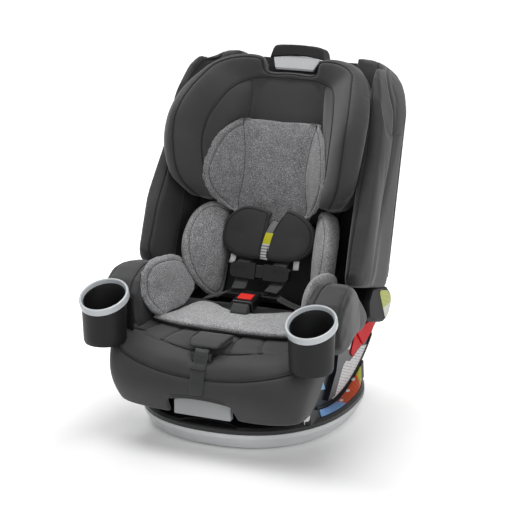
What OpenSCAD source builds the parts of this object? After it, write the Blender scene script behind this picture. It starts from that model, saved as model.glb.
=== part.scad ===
// Convertible child car seat: a seat bucket that rocks on a base, with a sliding headrest,
// a five-point harness and two cup holders. Origin on the floor under the base,
// +Z up, the seat faces -Y and +X is on the right of someone who looks at its front.

/* [Seat] */
// Overall width across the arms and the back wings
seat_w = 428; // [400:2:456]
// Lean of the back from upright, in degrees
lean = 16; // [12:1:20]
// Height of the seat back above the bight, along the back
back_h = 488; // [460:2:520]
// Thickness of the plastic walls
wall = 4; // [3:0.5:5]
// Clearance between neighbouring pieces
gap = 0.5; // [0.4:0.1:0.8]

/* [Base] */
// Width of the foot at its rim
foot_w = 392; // [370:2:410]
// Length of the foot at its rim
foot_l = 434; // [410:2:460]
// Height of the foot
foot_h = 33; // [26:1:38]
// Radius of the rockers that the seat reclines on
rail_r = 318; // [312:1:324]

/* [Cup holders] */
// Outer radius of a cup body at its mouth
cup_r = 42; // [39:1:44]
// Slant of the cup's rim, lower at the front, in degrees
cup_slant = 22; // [14:1:24]
// Depth from the rim's centre to the outside of the floor
cup_depth = 81; // [70:1:90]

/* [Headrest] */
// Overall width of the headrest
head_w = 332; // [310:2:336]
// Thickness of the headrest's side wings
head_wing = 40; // [34:1:44]
// Width of the squeeze handle on top
head_handle_w = 110; // [100:2:120]

/* [Harness] */
// Width of the webbing
web_w = 26; // [22:1:28]
// Thickness of the webbing
web_t = 2.4; // [1.8:0.2:3]
// Width of the crotch buckle
buckle_w = 42; // [38:1:46]

/* [Hidden] */

$fn = 48;
soft_fn = 20;
hw = seat_w / 2;
skin = 0.7;
// The pivot line of the recline arc, and the bight where the seat meets the back
pivot_y = 4;
pivot_z = rail_r + 48;
bight_y = 95;
bight_z = 165;
// The hard side frames
frame_x0 = hw - 64;
frame_x1 = frame_x0 + 13;
// Foot outline: centre and a slightly squared ellipse
foot_y = 20;
foot_n = 2.3;
deck_h = 12;
deck_top = foot_h + gap + deck_h;
flange_x = frame_x1 + 2.5;
cheek_x = flange_x + 1;
cheek_r = rail_r + 0.7;
// Recline travel
recline_deg = 15;
// Arm pads
arm_x0 = frame_x1 - 5;
arm_bottom = 178;
// Seat cushion
cushion_hw = arm_x0 - gap;
cushion_top = 191;
insert_t = 12;
// Back layers, measured along the rearward normal of the back
pad_front = -20;
pad_rear = 7;
slide_front = 9;
slide_rear = 19;
shell_front = 24;
// Headrest
head_hw = head_w / 2;
head_rear = -6.5;
head_front = -26;
head_low = 170;
head_top = back_h - 42;
// Inner face of the back wings, clear of the headrest that slides between them
wing_in = head_hw + 4;
// Harness
strap_x = 36;
clip_z = 77;
clip_y = -74;
clip_h = 30;
cover_pad_y = -63;
cover_pad_t = 12;
cover_pad_z = 97;
buckle_y = -50;
buckle_z = 215;
buckle_tilt = 80;
buckle_l = 44;
buckle_t = 21;
crotch_len = 10;
// Where the buckle's mouth ends, along the buckle
mouth_z = crotch_len + buckle_l;
insert_top = cushion_top + insert_t;
// Recline handle: front face and half width
handle_y = -211;
handle_hw = 54;
deck_z = cushion_top - 22;
shell_low = 26;
wing_floor = head_rear + gap + 0.3;

function sq(v) = v * v;
function spow(v, e) = sign(v) * pow(abs(v), e);
// Points of a squared ellipse, half sizes a and b
function oval(a, b, n, count = 72) =
    [for (i = [0 : count - 1]) let (t = 360 * i / count)
        [a * spow(cos(t), 2 / n), b * spow(sin(t), 2 / n)]];
// Half width of the foot's outline at a distance y from its centre line
function oval_x(a, b, n, y) = a * pow(max(0, 1 - pow(abs(y) / b, n)), 1 / n);
// Height of a rocker circle of radius r at y
function rocker_z(r, y) = pivot_z - sqrt(sq(r) - sq(y - pivot_y));
// Points of a circular arc about the pivot line, as (y, z)
function rocker_arc(r, y0, y1, count = 24) =
    [for (i = [0 : count]) let (y = y0 + (y1 - y0) * i / count) [y, rocker_z(r, y)]];
// A point of the back (y rearward, z up the back) as (y, z) of the seat
function back_to_seat(y, z) =
    [bight_y + y * cos(lean) + z * sin(lean), bight_z - y * sin(lean) + z * cos(lean)];

// A point (y, z) of the seat in the frame of the back
function seat_to_back(y, z) =
    [(y - bight_y) * cos(lean) - (z - bight_z) * sin(lean),
     (y - bight_y) * sin(lean) + (z - bight_z) * cos(lean)];
// A point of the buckle frame (y, z) as (y, z) of the seat
function buckle_to_seat(y, z) =
    [buckle_y + y * cos(buckle_tilt) + z * sin(buckle_tilt),
     buckle_z - y * sin(buckle_tilt) + z * cos(buckle_tilt)];

// Solid through a list of sections with equal point counts, closed by flat ends; each
// section turns clockwise when it is seen from the last one. flip turns the side facets'
// diagonals, so that two lofts that lie on each other can be cut the same way.
module loft(sections, flip = false) {
    n = len(sections[0]);
    m = len(sections);
    f = flip ? 1 : 0;
    polyhedron(
        points = [for (s = sections) for (p = s) p],
        faces = concat(
            [[for (i = [n - 1 : -1 : 0]) i]],
            [for (j = [0 : m - 2]) for (i = [0 : n - 1])
                [j * n + i, j * n + (i + 1) % n, (j + 1) * n + (i + 1 - f) % n]],
            [for (j = [0 : m - 2]) for (i = [0 : n - 1])
                [j * n + (i + f) % n, (j + 1) * n + (i + 1) % n, (j + 1) * n + i]],
            [[for (i = [0 : n - 1]) (m - 1) * n + i]]),
        convexity = 6);
}

// Extrudes an outline given as (y, z) from x0 to x1
module slab_x(x0, x1) {
    translate([x0, 0, 0]) rotate([90, 0, 90]) linear_extrude(x1 - x0) children();
}

// Extrudes an outline given as (x, z) from y0 to y1
module slab_y(y0, y1) {
    translate([0, y1, 0]) rotate([90, 0, 0]) linear_extrude(y1 - y0) children();
}

// Places children on the left or the right side; they are drawn on the right
module side(left) {
    if (left) mirror([1, 0, 0]) children();
    else children();
}

module both() {
    children();
    mirror([1, 0, 0]) children();
}

// Frame of the leaning back
module on_back() {
    translate([0, bight_y, bight_z]) rotate([-lean, 0, 0]) children();
}

// Frame of the crotch buckle, +Z along the buckle towards its mouth
module on_buckle() {
    translate([0, buckle_y, buckle_z]) rotate([-buckle_tilt, 0, 0]) children();
}

// Flat ribbon along points [x, y, z] with a width direction along X
module ribbon(path, w, t) {
    n = len(path);
    loft([for (i = [0 : n - 1]) let (
            a = path[max(0, i - 1)],
            b = path[min(n - 1, i + 1)],
            len_yz = norm([b[1] - a[1], b[2] - a[2]]),
            ny = -(b[2] - a[2]) / len_yz * t / 2,
            nz = (b[1] - a[1]) / len_yz * t / 2,
            p = path[i])
        [[p[0] - w / 2, p[1] - ny, p[2] - nz], [p[0] + w / 2, p[1] - ny, p[2] - nz],
         [p[0] + w / 2, p[1] + ny, p[2] + nz], [p[0] - w / 2, p[1] + ny, p[2] + nz]]]);
}

// ---------------------------------------------------------------- base

// One slice of the foot, smaller by inset
module foot_slice(inset, z0, z1) {
    translate([0, foot_y, z0]) linear_extrude(z1 - z0)
        polygon(oval(foot_w / 2 - inset, foot_l / 2 - inset, foot_n));
}

module base_foot() {
    color("gainsboro") difference() {
        hull() {
            foot_slice(24, 0, 0.5);
            foot_slice(13, 6, 6.5);
            foot_slice(2, foot_h - 8, foot_h - 7);
            foot_slice(1, foot_h - 0.5, foot_h);
        }
        foot_slice(30, wall, foot_h + 1);
        for (sx = [-1, 1], sy = [-1, 1])
            translate([sx * foot_w * 0.26, foot_y + sy * foot_l * 0.26, -1]) cylinder(r = 17, h = 3);
    }
}

module rubber_pads() {
    color("dimgray") for (sx = [-1, 1], sy = [-1, 1])
        translate([sx * foot_w * 0.26, foot_y + sy * foot_l * 0.26, 0])
            cylinder(r = 17 - gap / 4, h = 2 - gap / 4);
}

// The cheeks carry the rockers; their sloping sides run out to the deck's ledge
cheek_y0 = -120;
cheek_y1 = 144;
cheek_steps = 20;
function cheek_y(i) = cheek_y0 + (cheek_y1 - cheek_y0) * i / cheek_steps;
function cheek_top(y) = max(deck_top, rocker_z(cheek_r, y));
function ledge_x(y) = max(cheek_x + 1.5,
    oval_x(foot_w / 2 - 9, foot_l / 2 - 9, foot_n, y - foot_y));

module cheek() {
    loft([for (i = [0 : cheek_steps]) let (y = cheek_y(i), zt = cheek_top(y))
        [[frame_x0 + gap, y, deck_top - 2], [ledge_x(y), y, deck_top - 2],
         [ledge_x(y), y, deck_top + 0.2], [cheek_x, y, zt], [frame_x0 + gap, y, zt]]]);
}

module base_deck() {
    color("#202122") difference() {
        union() {
            hull() {
                foot_slice(1.5, foot_h + gap, foot_h + gap + 7);
                foot_slice(6, foot_h + gap + deck_h - 1, deck_top);
            }
            both() cheek();
        }
        // Underside left hollow
        foot_slice(10, foot_h - 1, foot_h + gap + deck_h - wall);
        // Finger recess under the recline handle
        translate([0, foot_y - foot_l / 2 - 4, deck_top - 2.5]) linear_extrude(12)
            polygon(oval(62, 34, 2, 36));
        // Seat of the recline rack
        translate([-rack_hw - gap, rack_y0 - gap, 0])
            cube([2 * rack_hw + 2 * gap, rack_y1 - rack_y0 + 2 * gap, deck_top + 40]);
    }
}

// Toothed arc in the middle of the deck, under the lock bar
rack_r = rail_r + 1;
rack_hw = 28;
rack_y0 = -92;
rack_y1 = 52;
teeth = 6;
module recline_rack() {
    step = recline_deg / (teeth - 1);
    color("#2b2c2e") slab_x(-rack_hw, rack_hw) difference() {
        polygon(concat(rocker_arc(rack_r, rack_y0, rack_y1), [[rack_y1, foot_h + 2], [rack_y0, foot_h + 2]]));
        for (i = [0 : teeth - 1])
            translate([pivot_y, pivot_z]) rotate(-90 - i * step)
                translate([rack_r, 0]) square([11, 8], center = true);
    }
}

// Coloured recline scale: a thin skin parallel to the cheeks' slope, from station i0 to i1
scale_t = 1;
module scale_band(i0, i1) {
    y0 = cheek_y(i0) + gap / 2;
    y1 = cheek_y(i1) - gap / 2;
    both() difference() {
        intersection() {
            translate([gap + scale_t, 0, gap + scale_t]) cheek();
            translate([cheek_x + 0.8, y0, deck_top + 0.7]) cube([60, y1 - y0, 60]);
        }
        translate([gap, 0, gap]) cheek();
        // Its upper edge ends with the cheek's
        slab_x(cheek_x, cheek_x + 60) polygon(concat(
            [for (y = [y0 - 1 : 6 : y1 + 7]) [y, cheek_top(y) + gap / 2]], [[y1 + 7, 200], [y0 - 1, 200]]));
    }
}

module recline_scale_blue() {
    color("#7fa6d6") scale_band(3, 9);
}

module recline_scale_orange() {
    color("#c8472a") scale_band(9, 17);
}

module recline_scale_green() {
    color("#9aa02c") scale_band(17, 20);
}

// ---------------------------------------------------------------- seat structure

pan_rear = 160;
tunnel_low = 150;
tunnel_high = 178;
tunnel_y0 = 60;
tunnel_y1 = 148;
window_y1 = 106;

module seat_pan() {
    pan_hw = frame_x0 - gap;
    color("#1b1c1d") difference() {
        slab_x(-pan_hw, pan_hw) polygon(concat(
            [[pan_rear, tunnel_high - 4], [tunnel_y1 + 4, tunnel_high - 4], [tunnel_y1 + 4, tunnel_low],
             [tunnel_y0 - 6, tunnel_low], [tunnel_y0 - 6, deck_z], [-176, deck_z], [-176, 122]],
            rocker_arc(rail_r - 8, -124, pan_rear, 12)));
        // Hollow from below, with the lock bar's well in the middle
        for (s = [-1, 1])
            slab_x(min(s * 38, s * (pan_hw - wall)), max(s * 38, s * (pan_hw - wall)))
                polygon([[-168, 40], [-168, deck_z - wall], [tunnel_y0 - 12, deck_z - wall],
                    [tunnel_y0 - 12, tunnel_low - wall], [pan_rear - 6, tunnel_low - wall],
                    [pan_rear - 6, 40]]);
        slab_x(-32, 32) polygon([[-185, 60], [-185, 140], [24, 140], [24, 30], [-120, 30]]);
    }
}

// Side frame: rocker rail, belt-path window and the stay that carries the back. The rail
// runs past the cheeks' rear end at full recline.
rail_y1 = 218;
module side_frame() {
    difference() {
        union() {
            slab_x(frame_x0, frame_x1) polygon(concat(
                rocker_arc(rail_r, -104, rail_y1, 32),
                [[236, 138], [246, 150], back_to_seat(58, 70), back_to_seat(58, 150),
                 back_to_seat(46 + gap, 150), back_to_seat(46 + gap, 86), [140, tunnel_high + 8],
                 [72, tunnel_high - 1], [tunnel_y0 - 2, tunnel_high - 1], [tunnel_y0 - 2, deck_z - gap],
                 [-112, deck_z - gap], [-118, 120]]));
            // Rail flange
            slab_x(frame_x0, flange_x) polygon(concat(
                rocker_arc(rail_r, -84, 196, 30),
                [for (i = [30 : -1 : 0]) rocker_arc(rail_r - 4, -84, 196, 30)[i]]));
            // Diagonal strut
            slab_x(frame_x0, frame_x1 + 8)
                polygon([[4, 142], [54, 130], [22, 100], [-12, 62], [-46, 64], [-6, 108]]);
        }
        // Belt-path window
        slab_x(frame_x0 - 1, frame_x1 + 1)
            polygon([[tunnel_y0, tunnel_low + 1], [window_y1, tunnel_low + 1],
                     [window_y1 - 6, tunnel_high - 6], [tunnel_y0 + 2, tunnel_high - 6]]);
    }
}

module side_frame_left() {
    color("#26282a") side(true) side_frame();
}

module side_frame_right() {
    color("#26282a") side(false) side_frame();
}

// Block that closes the seat's rear corner under the back wing
corner_x0 = frame_x1 + gap;
corner_x1 = hw - 9;
corner_outline = [[66, 188], [62, 222], [84, 244], [132, 235], [170, 222], [191, 204], [193, 184],
                  [178, 163], [152, 156], [104, 170]];
module corner_slice(x0, x1, inset) {
    slab_x(x0, x1) offset(r = 12, $fn = 48) offset(delta = -12 - inset) polygon(corner_outline);
}
module corner_cover() {
    hull() {
        corner_slice(corner_x0, corner_x1 - 9, 0);
        corner_slice(corner_x1 - 4, corner_x1 - 3, 2.2);
        corner_slice(corner_x1 - 1, corner_x1, 6);
    }
}

module corner_cover_left() {
    color("#161718") side(true) corner_cover();
}

module corner_cover_right() {
    color("#161718") side(false) corner_cover();
}

module corner_labels() {
    color("#c3c94a") both() slab_x(corner_x1 + 0.1, corner_x1 + skin)
        offset(r = 5, $fn = 32) offset(delta = -5) polygon([[118, 229], [163, 216], [182, 201], [184, 186],
            [172, 170], [154, 165]]);
}

// Red lining of the belt path, with a raised upper fold
module belt_path_trim() {
    slab_x(frame_x1 + 0.1, frame_x1 + 2.2)
        polygon([[107, 145], [140, 112], [92, 103], [84, 113]]);
    slab_x(frame_x1 + 0.1, frame_x1 + 5)
        polygon([[106, 147], [150, 149], [196, 147], [216, 137], [171, 118], [141, 112]]);
}

module belt_path_trim_left() {
    color("#c4202c") side(true) belt_path_trim();
}

module belt_path_trim_right() {
    color("#c4202c") side(false) belt_path_trim();
}

// Blank information labels on the frame's outer face
module side_labels() {
    color("white") both() {
        slab_x(frame_x1 + 0.1, frame_x1 + skin) polygon(concat(
            rocker_arc(rail_r - 4 - gap, -6, 172, 20), [[140, 108], [82, 97], [62, 104], [28, 92]]));
        slab_x(frame_x1 + 0.1, frame_x1 + skin)
            polygon([[42, 149], [100, 147], [82, 121], [72, 122], [60, 133], [20, 144]]);
        slab_x(frame_x1 + 0.1, frame_x1 + skin)
            polygon([[-78, 118], [-58, 112], [-42, 84], [-80, 94]]);
    }
}

module frame_screws() {
    color("#3a3c3e") both() {
        for (p = [[-96, 150], [-60, 150], [-90, 120], [222, 140]])
            translate([frame_x1 + 0.1, p[0], p[1]]) rotate([0, 90, 0]) difference() {
                cylinder(r = 5, h = 2.6);
                translate([0, 0, 1]) cylinder(r = 2.4, h = 2, $fn = 6);
            }
    }
}

// Outline of the seat back in (x, z): straight sides and a rounded top
module back_outline(w, h, low) {
    r = 92;
    hull() {
        translate([-w, low]) square([2 * w, 1]);
        for (s = [-1, 1]) translate([s * (w - r), h - r]) circle(r, $fn = 64);
    }
}

module back_shell() {
    rail_in = 46;
    color("#1e1f20") on_back() {
        difference() {
            union() {
                // Rear skin behind the wings
                intersection() {
                    translate([-hw, 41, -8]) cube([seat_w, wall + 1, back_h + 20]);
                    slab_y(-10, 90) back_outline(hw - 8, back_h - 6, 92);
                }
                // Middle panel and its side returns
                slab_y(shell_front, shell_front + wall) back_outline(pad_hw, back_h - 14, shell_low);
                for (s = [-1, 1])
                    translate([s * (pad_hw - 4) - 4, shell_front, shell_low]) cube([8, 22, back_h - 130]);
                // Ribs and the rear bridge
                for (s = [-1, 1]) translate([s * 62 - 3, shell_front, shell_low]) cube([6, 34, back_h - 84]);
                translate([-pad_hw, shell_front, shell_low]) cube([2 * pad_hw, 30, 8]);
                // Headrest guides
                for (s = [-1, 1])
                    translate([s * rail_in - (s < 0 ? 5 : 0), slide_front - 1, 150])
                        cube([5, shell_front - slide_front + 2, head_top - 160]);
            }
            // Harness slots
            for (s = [-1, 1], z = [176, 236, 296])
                translate([s * slot_x - 9, shell_front - 1, z]) cube([18, wall + 2, 34]);
        }
    }
}

// ---------------------------------------------------------------- cup holders

cup_x = hw - 17.5;
cup_y = -194;
cup_z = 254;
cup_floor = cup_z - cup_depth;

// Everything below the slanted plane of the rim
module below_rim() {
    translate([cup_x, cup_y, cup_z]) rotate([cup_slant, 0, 0]) translate([-90, -110, -200])
        cube([180, 220, 200]);
}

module cup_holder() {
    difference() {
        union() {
            intersection() {
                translate([cup_x, cup_y, cup_floor]) union() {
                    cylinder(r1 = cup_r - 6, r2 = cup_r - 4, h = 5);
                    translate([0, 0, 5]) cylinder(r1 = cup_r - 4, r2 = cup_r, h = cup_depth + 30);
                }
                below_rim();
            }
            // Bracket behind the cup, on the arm's front
            slab_y(cup_y + cup_r - 9, cup_y + cup_r - 3) hull() {
                translate([arm_x0 + 10, cup_floor + 14]) circle(9, $fn = 32);
                translate([hw - 4, cup_floor + 14]) circle(9, $fn = 32);
                translate([arm_x0 + 10, cup_z - 12]) circle(9, $fn = 32);
                translate([hw - 4, cup_z - 12]) circle(9, $fn = 32);
            }
        }
        translate([cup_x, cup_y, cup_floor + wall])
            cylinder(r1 = cup_r - 4 - wall, r2 = cup_r - wall, h = cup_depth + 30);
    }
}

module cup_holder_left() {
    color("#1c1d1e") side(true) cup_holder();
}

module cup_holder_right() {
    color("#1c1d1e") side(false) cup_holder();
}

// Slanted ring that closes the cup's mouth: an oval that follows the slanted cut
module cup_rim() {
    out = cup_r / cos(cup_slant) + gap + 1.6;
    squeeze = (cup_r + gap + 1.6) / out;
    mouth = (cup_r - wall + 0.2) / squeeze;
    translate([cup_x, cup_y, cup_z]) rotate([cup_slant, 0, 0]) scale([squeeze, 1, 1])
        rotate_extrude($fn = 96) polygon([[mouth, 0.1], [out - 4.6, 6.8], [out - 3, 8], [out - 1, 7.2],
            [out, 5], [out, -4.4], [out - 1.4, -5], [out - 1.4, 0.1]]);
}

module cup_rim_left() {
    color("#d6d8da") side(true) cup_rim();
}

module cup_rim_right() {
    color("#d6d8da") side(false) cup_rim();
}

// ---------------------------------------------------------------- covers and cushions

module seat_cushion() {
    color("#3a3b3d") slab_x(-cushion_hw, cushion_hw)
        polygon([[-200, cushion_top - 21], [-202, cushion_top - 12], [-192, cushion_top - 5],
                 [-170, cushion_top - 1], [-120, cushion_top], [tunnel_y0 - 4, cushion_top],
                 [tunnel_y0 - 4, cushion_top - 21]]);
}

// Half width and front reach of the hanging front cover at height z
cover_low = 64;
cover_top = cushion_top - 23;
function cover_u(z) = (z - cover_low) / (cover_top - cover_low);
function cover_hw(z) = hw - 44 + 30 * pow(cover_u(z), 0.6);
function cover_reach(z) = 204 + 34 * sin(min(1, cover_u(z) * 1.5) * 90) - 30 * pow(cover_u(z), 4);
function cover_back(z) = -112 - 34 * (1 - cover_u(z));
// Angles round the cover's front, with a notch in its hem over the recline handle
function cover_angle(x) = asin(pow(x / cover_hw(cover_low), 1 / 0.42));
notch_t0 = cover_angle(handle_hw + 3);
notch_t1 = cover_angle(handle_hw + 12);
notch_h = 38;
function cover_hem(t) = abs(t) < (notch_t0 + notch_t1) / 2 ? cover_low + notch_h : cover_low;
// Point of the cover at angle t and a share k of its height, inset from its outer face
function cover_point(t, k, inset) = let (
        z = cover_hem(t) + (cover_top - cover_hem(t)) * k,
        a = cover_hw(z) - inset,
        b = cover_reach(z) - inset + cover_back(z))
    [a * spow(sin(t), 0.42), cover_back(z) - b * spow(cos(t), 0.36), z];

module front_cover() {
    cover_t = 9;
    steps = 8;
    turns = 12;
    angles = concat(
        [for (i = [0 : turns]) -90 + (90 - notch_t1) * i / turns],
        [for (i = [0 : turns / 2]) -notch_t0 + 4 * notch_t0 * i / turns],
        [for (i = [0 : turns]) notch_t1 + (90 - notch_t1) * i / turns]);
    color("#343537") loft([for (t = angles) concat(
        [for (i = [0 : steps]) cover_point(t, i / steps, cover_t)],
        [for (i = [steps : -1 : 0]) cover_point(t, i / steps, 0)])]);
}

module adjuster_flap() {
    color("#2f3032") hull() {
        translate([-34, -176, cushion_top + gap + 0.4]) cube([68, 30, 9]);
        translate([-31, -205, cushion_top - 1.6]) cube([62, 6, 4]);
        translate([-31, -190, cushion_top + gap + 0.4]) cube([62, 8, 9]);
    }
}

// Harness adjuster under the flap: case and release lever
module adjuster_case() {
    color("#232426") difference() {
        translate([-19, -213, cover_top + gap]) cube([38, 10.4, 14]);
        translate([-14, -214, cover_top + 4]) cube([28, 9, 11]);
    }
}

module adjuster_lever() {
    color("#3b3d40") translate([-13.5, -213, cover_top + 4.5]) cube([27, 4, 9]);
}

module adjuster_strap() {
    color("#1f2021") ribbon([for (z = [cover_top - 3 : -10 : cover_low + 48])
        [0, -cover_reach(z) - web_t / 2 - 2 * gap, z]], web_w, web_t);
}

module arm_pad() {
    hull() {
        slab_x(arm_x0, hw - 12) polygon([[-146, 196], [-146, 250], [-128, 272], [-100, 285],
            [-74, 289], [-44, 284], [-10, 266], [22, 236], [42, 208], [42, 192], [20, arm_bottom],
            [-120, arm_bottom]]);
        slab_x(hw - 1, hw) polygon([[-138, 200], [-138, 244], [-120, 267], [-98, 279], [-74, 282],
            [-50, 277], [-20, 258], [12, 230], [34, 207], [34, 197], [16, 188], [-114, 188]]);
    }
}

module arm_pad_left() {
    color("#3a3b3d") side(true) arm_pad();
}

module arm_pad_right() {
    color("#3a3b3d") side(false) arm_pad();
}

pad_hw = frame_x0 - 34;
// Middle of the harness slots, from the centre line
slot_x = pad_hw - 38;
module back_pad() {
    color("#333436") on_back() difference() {
        union() {
            translate([-pad_hw, -5, 18]) cube([2 * pad_hw, pad_rear + 5, back_h - 70]);
            translate([-pad_hw, pad_front, 18]) cube([2 * pad_hw, 16, head_low - 24]);
        }
        // Channel for the headrest's slide
        translate([-20, -6, head_low + 120]) cube([40, pad_rear + 8, back_h]);
        // Harness slots
        for (s = [-1, 1], z = [176, 236])
            translate([s * slot_x - 12, -6, z]) cube([24, pad_rear + 8, 34]);
    }
}

// Side wing of the back, from its seat-side edge round to the rear skin
wing_low = 80;
wing_rear_x = pad_hw + 1;
wing_t = hw - wing_in;
module back_wing() {
    intersection() {
        translate([0, 0, wing_low]) linear_extrude(back_h) polygon([
            [wing_rear_x, 6], [wing_rear_x, wing_floor], [wing_in, wing_floor],
            [wing_in + wing_t * 0.07, -40], [wing_in + wing_t * 0.18, -100], [wing_in + wing_t * 0.45, -146],
            [hw - wing_t * 0.39, -156], [hw - wing_t * 0.23, -150], [hw - wing_t * 0.11, -118], [hw, -60],
            [hw, 4], [hw - wing_t * 0.11, 30], [hw - wing_t * 0.36, 40.5], [wing_rear_x, 40.5]]);
        slab_y(-170, 60) back_outline(hw, back_h, wing_low);
        slab_x(pad_hw - 16, hw + 1) polygon([[41, wing_low], [-138, wing_low], [-152, wing_low + 16],
            [-140, 177], [-118, 247], [-101, 300], [-91, 370], [-90, 410], [-76, 452],
            [-50, back_h - 8], [-20, back_h], [41, back_h]]);
    }
}

module back_wing_left() {
    color("#38393b") on_back() side(true) back_wing();
}

module back_wing_right() {
    color("#38393b") on_back() side(false) back_wing();
}

// Removable pad on the cushion, wide at the knees
insert_hw = arm_x0 - 20;
module seat_insert() {
    color("#8d8e90") translate([0, 0, cushion_top + gap]) linear_extrude(insert_t - gap) polygon(concat(
        [for (i = [0 : 12]) let (t = -1 + i / 6) [t * insert_hw, -84 - 40 * (1 - t * t)]],
        [[insert_hw - 6, -60], [insert_hw - 42, 40], [insert_hw - 58, 54],
         [58 - insert_hw, 54], [42 - insert_hw, 40], [6 - insert_hw, -60]]));
}

// Pad that stands along the thigh, leaning on the arm
module hip_bolster() {
    hull() {
        for (p = [[arm_x0 - 23, -88, 12], [arm_x0 - 46, 6, 13]])
            translate([p[0], p[1], insert_top + gap + p[2]]) sphere(p[2], $fn = soft_fn);
        for (p = [[arm_x0 - 17, -112, 254, 13], [arm_x0 - 16, -52, 286, 14], [arm_x0 - 17, -8, 270, 13]])
            translate([p[0], p[1], p[2]]) sphere(p[3], $fn = soft_fn);
    }
}

module hip_bolster_left() {
    color("#8d8e90") side(true) hip_bolster();
}

module hip_bolster_right() {
    color("#8d8e90") side(false) hip_bolster();
}

module torso_bolsters() {
    color("#8d8e90") on_back() both() hull() {
        for (p = [[70, 58, 12], [72, 160, 11]])
            translate([wing_in - p[0], pad_front - gap - p[2], p[1]]) sphere(p[2], $fn = soft_fn);
        for (p = [[34, -78, 62, 12], [28, -108, 110, 12], [34, -88, 168, 12], [66, -52, 176, 10]])
            translate([wing_in - p[0], p[1], p[2]]) sphere(p[3], $fn = soft_fn);
    }
}

// Loose cloth tag behind the cover's lower rear corner
module care_tag() {
    tag_x = cover_hw(86) - 12;
    color("#d9dadb") slab_x(tag_x, tag_x + 1.4)
        polygon([[-137, 106], [-118, 104], [-114, 84], [-126, 62], [-152, 56], [-145.5, 62], [-134, 80]]);
}

// ---------------------------------------------------------------- recline handle

module recline_handle() {
    color("#cfd1d3") {
        difference() {
            slab_y(handle_y, handle_y + 12) intersection() {
                translate([-handle_hw, 65]) square([2 * handle_hw, 37]);
                translate([0, -112]) circle(211, $fn = 128);
            }
            // Finger hollow behind the lip
            translate([-44, handle_y + wall, 63]) cube([88, 9, 21]);
        }
        // Stem back to the lock bar
        translate([-22, handle_y + 11.9, 84]) cube([44, 50, 8]);
    }
}

module recline_lock_bar() {
    color("#6d7072") {
        slab_x(-24, 24) polygon([[handle_y + 62, 84], [handle_y + 62, 92], [-6, 92], [12, 78],
            [12, rocker_z(rail_r - 1, pivot_y) + 2], [-4, rocker_z(rail_r - 1, pivot_y) + 2],
            [-4, 76], [-16, 84]]);
    }
}

// ---------------------------------------------------------------- headrest

// Plastic core: slide on the guides, neck and the top bracket for the handle
module headrest_shell() {
    slide_hw = 45;
    color("#202122") on_back() {
        translate([-slide_hw, slide_front, head_low + 6])
            cube([2 * slide_hw, slide_rear - slide_front, head_top - head_low - 30]);
        translate([-18, head_rear + 0.3, head_low + 128])
            cube([36, slide_front - head_rear, head_top - head_low - 152]);
        // Neck up the cover's back to the handle's housing, with the lock pin's bore
        translate([-18, head_rear + 0.3, head_top - 30]) cube([36, 4, 38]);
        difference() {
            slab_x(10 - plate_hw, plate_hw - 10) polygon([[-13, plate_z0], [-6.8, plate_z1 - 7],
                [22, plate_z1 - 7], [22, plate_z0], [head_rear + 0.3, plate_z0 - 6], [head_rear, plate_z0]]);
            translate([-7, slide_front - 1, plate_z0 - 10]) cube([14, 9, 60]);
        }
    }
}

// Padded U that holds the head, open to the front
module headrest_cover() {
    in_x = head_hw - head_wing;
    color("#3a3b3d") on_back() difference() {
        intersection() {
            linear_extrude(back_h) polygon(concat(
                [[-(in_x - 12), head_front], [-(in_x - 4), head_front - 12], [-in_x, head_front - 50],
                 [-(in_x + 4), -128], [-(in_x + 12), -146], [-(in_x + 24), -154], [-(head_hw - 4), -146],
                 [-head_hw, -126], [-head_hw, -44], [-(head_hw - 16), head_rear], [0, head_rear]],
                [[head_hw - 16, head_rear], [head_hw, -44], [head_hw, -126], [head_hw - 4, -146],
                 [in_x + 24, -154], [in_x + 12, -146], [in_x + 4, -128], [in_x, head_front - 50],
                 [in_x - 4, head_front - 12], [in_x - 12, head_front]]));
            slab_y(-180, 20) hull() {
                for (s = [-1, 1]) {
                    translate([s * (head_hw - 60), head_top - 60]) circle(60, $fn = 64);
                    translate([s * (head_hw - 34), head_low + 60]) circle(34, $fn = 48);
                }
                translate([-110, head_low]) square([220, 10]);
            }
            slab_x(-200, 200) polygon([[head_rear + 1, head_low], [head_front - 6, head_low],
                [-100, head_low + 26], [-132, head_low + 66], [-148, head_low + 120],
                [-156, head_low + 176], [-150, head_low + 226], [-124, head_top - 16], [-70, head_top],
                [head_rear + 1, head_top]]);
        }
        translate([-19, head_rear - 1, head_low + 127]) cube([38, 10, back_h]);
    }
}

module head_pillow() {
    color("#8d8e90") on_back() hull() {
        for (s = [-1, 1]) {
            translate([s * 62, head_front - gap - 14, 340]) sphere(14, $fn = soft_fn);
            translate([s * 66, head_front - gap - 16, 202]) sphere(13, $fn = soft_fn);
            translate([s * 62, head_front - gap - 34, 280]) sphere(16, $fn = soft_fn);
        }
        translate([-60, head_front - gap - 1, 200]) cube([120, 1, 140]);
    }
}

// Light plate on the handle's housing, with a plain face and an arched top
plate_z0 = head_top + 8.5;
plate_z1 = plate_z0 + 28;
plate_hw = head_handle_w / 2 - 8;
plate_arch = 5;
function plate_top(x) = plate_z1 - plate_arch * sq(x / plate_hw);
module headrest_plate() {
    color("#c9cbcd") on_back() intersection() {
        slab_x(-plate_hw, plate_hw) polygon([[-18, plate_z0], [-19, plate_z0 + 4],
            [-10, plate_z1], [-5.5, plate_z1], [-13.8, plate_z0]]);
        slab_y(-30, 0) polygon(concat(
            [for (i = [-12 : 12]) [plate_hw * i / 12, plate_top(plate_hw * i / 12)]],
            [[plate_hw - 10, plate_z0 - 1], [10 - plate_hw, plate_z0 - 1]]));
    }
}

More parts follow.
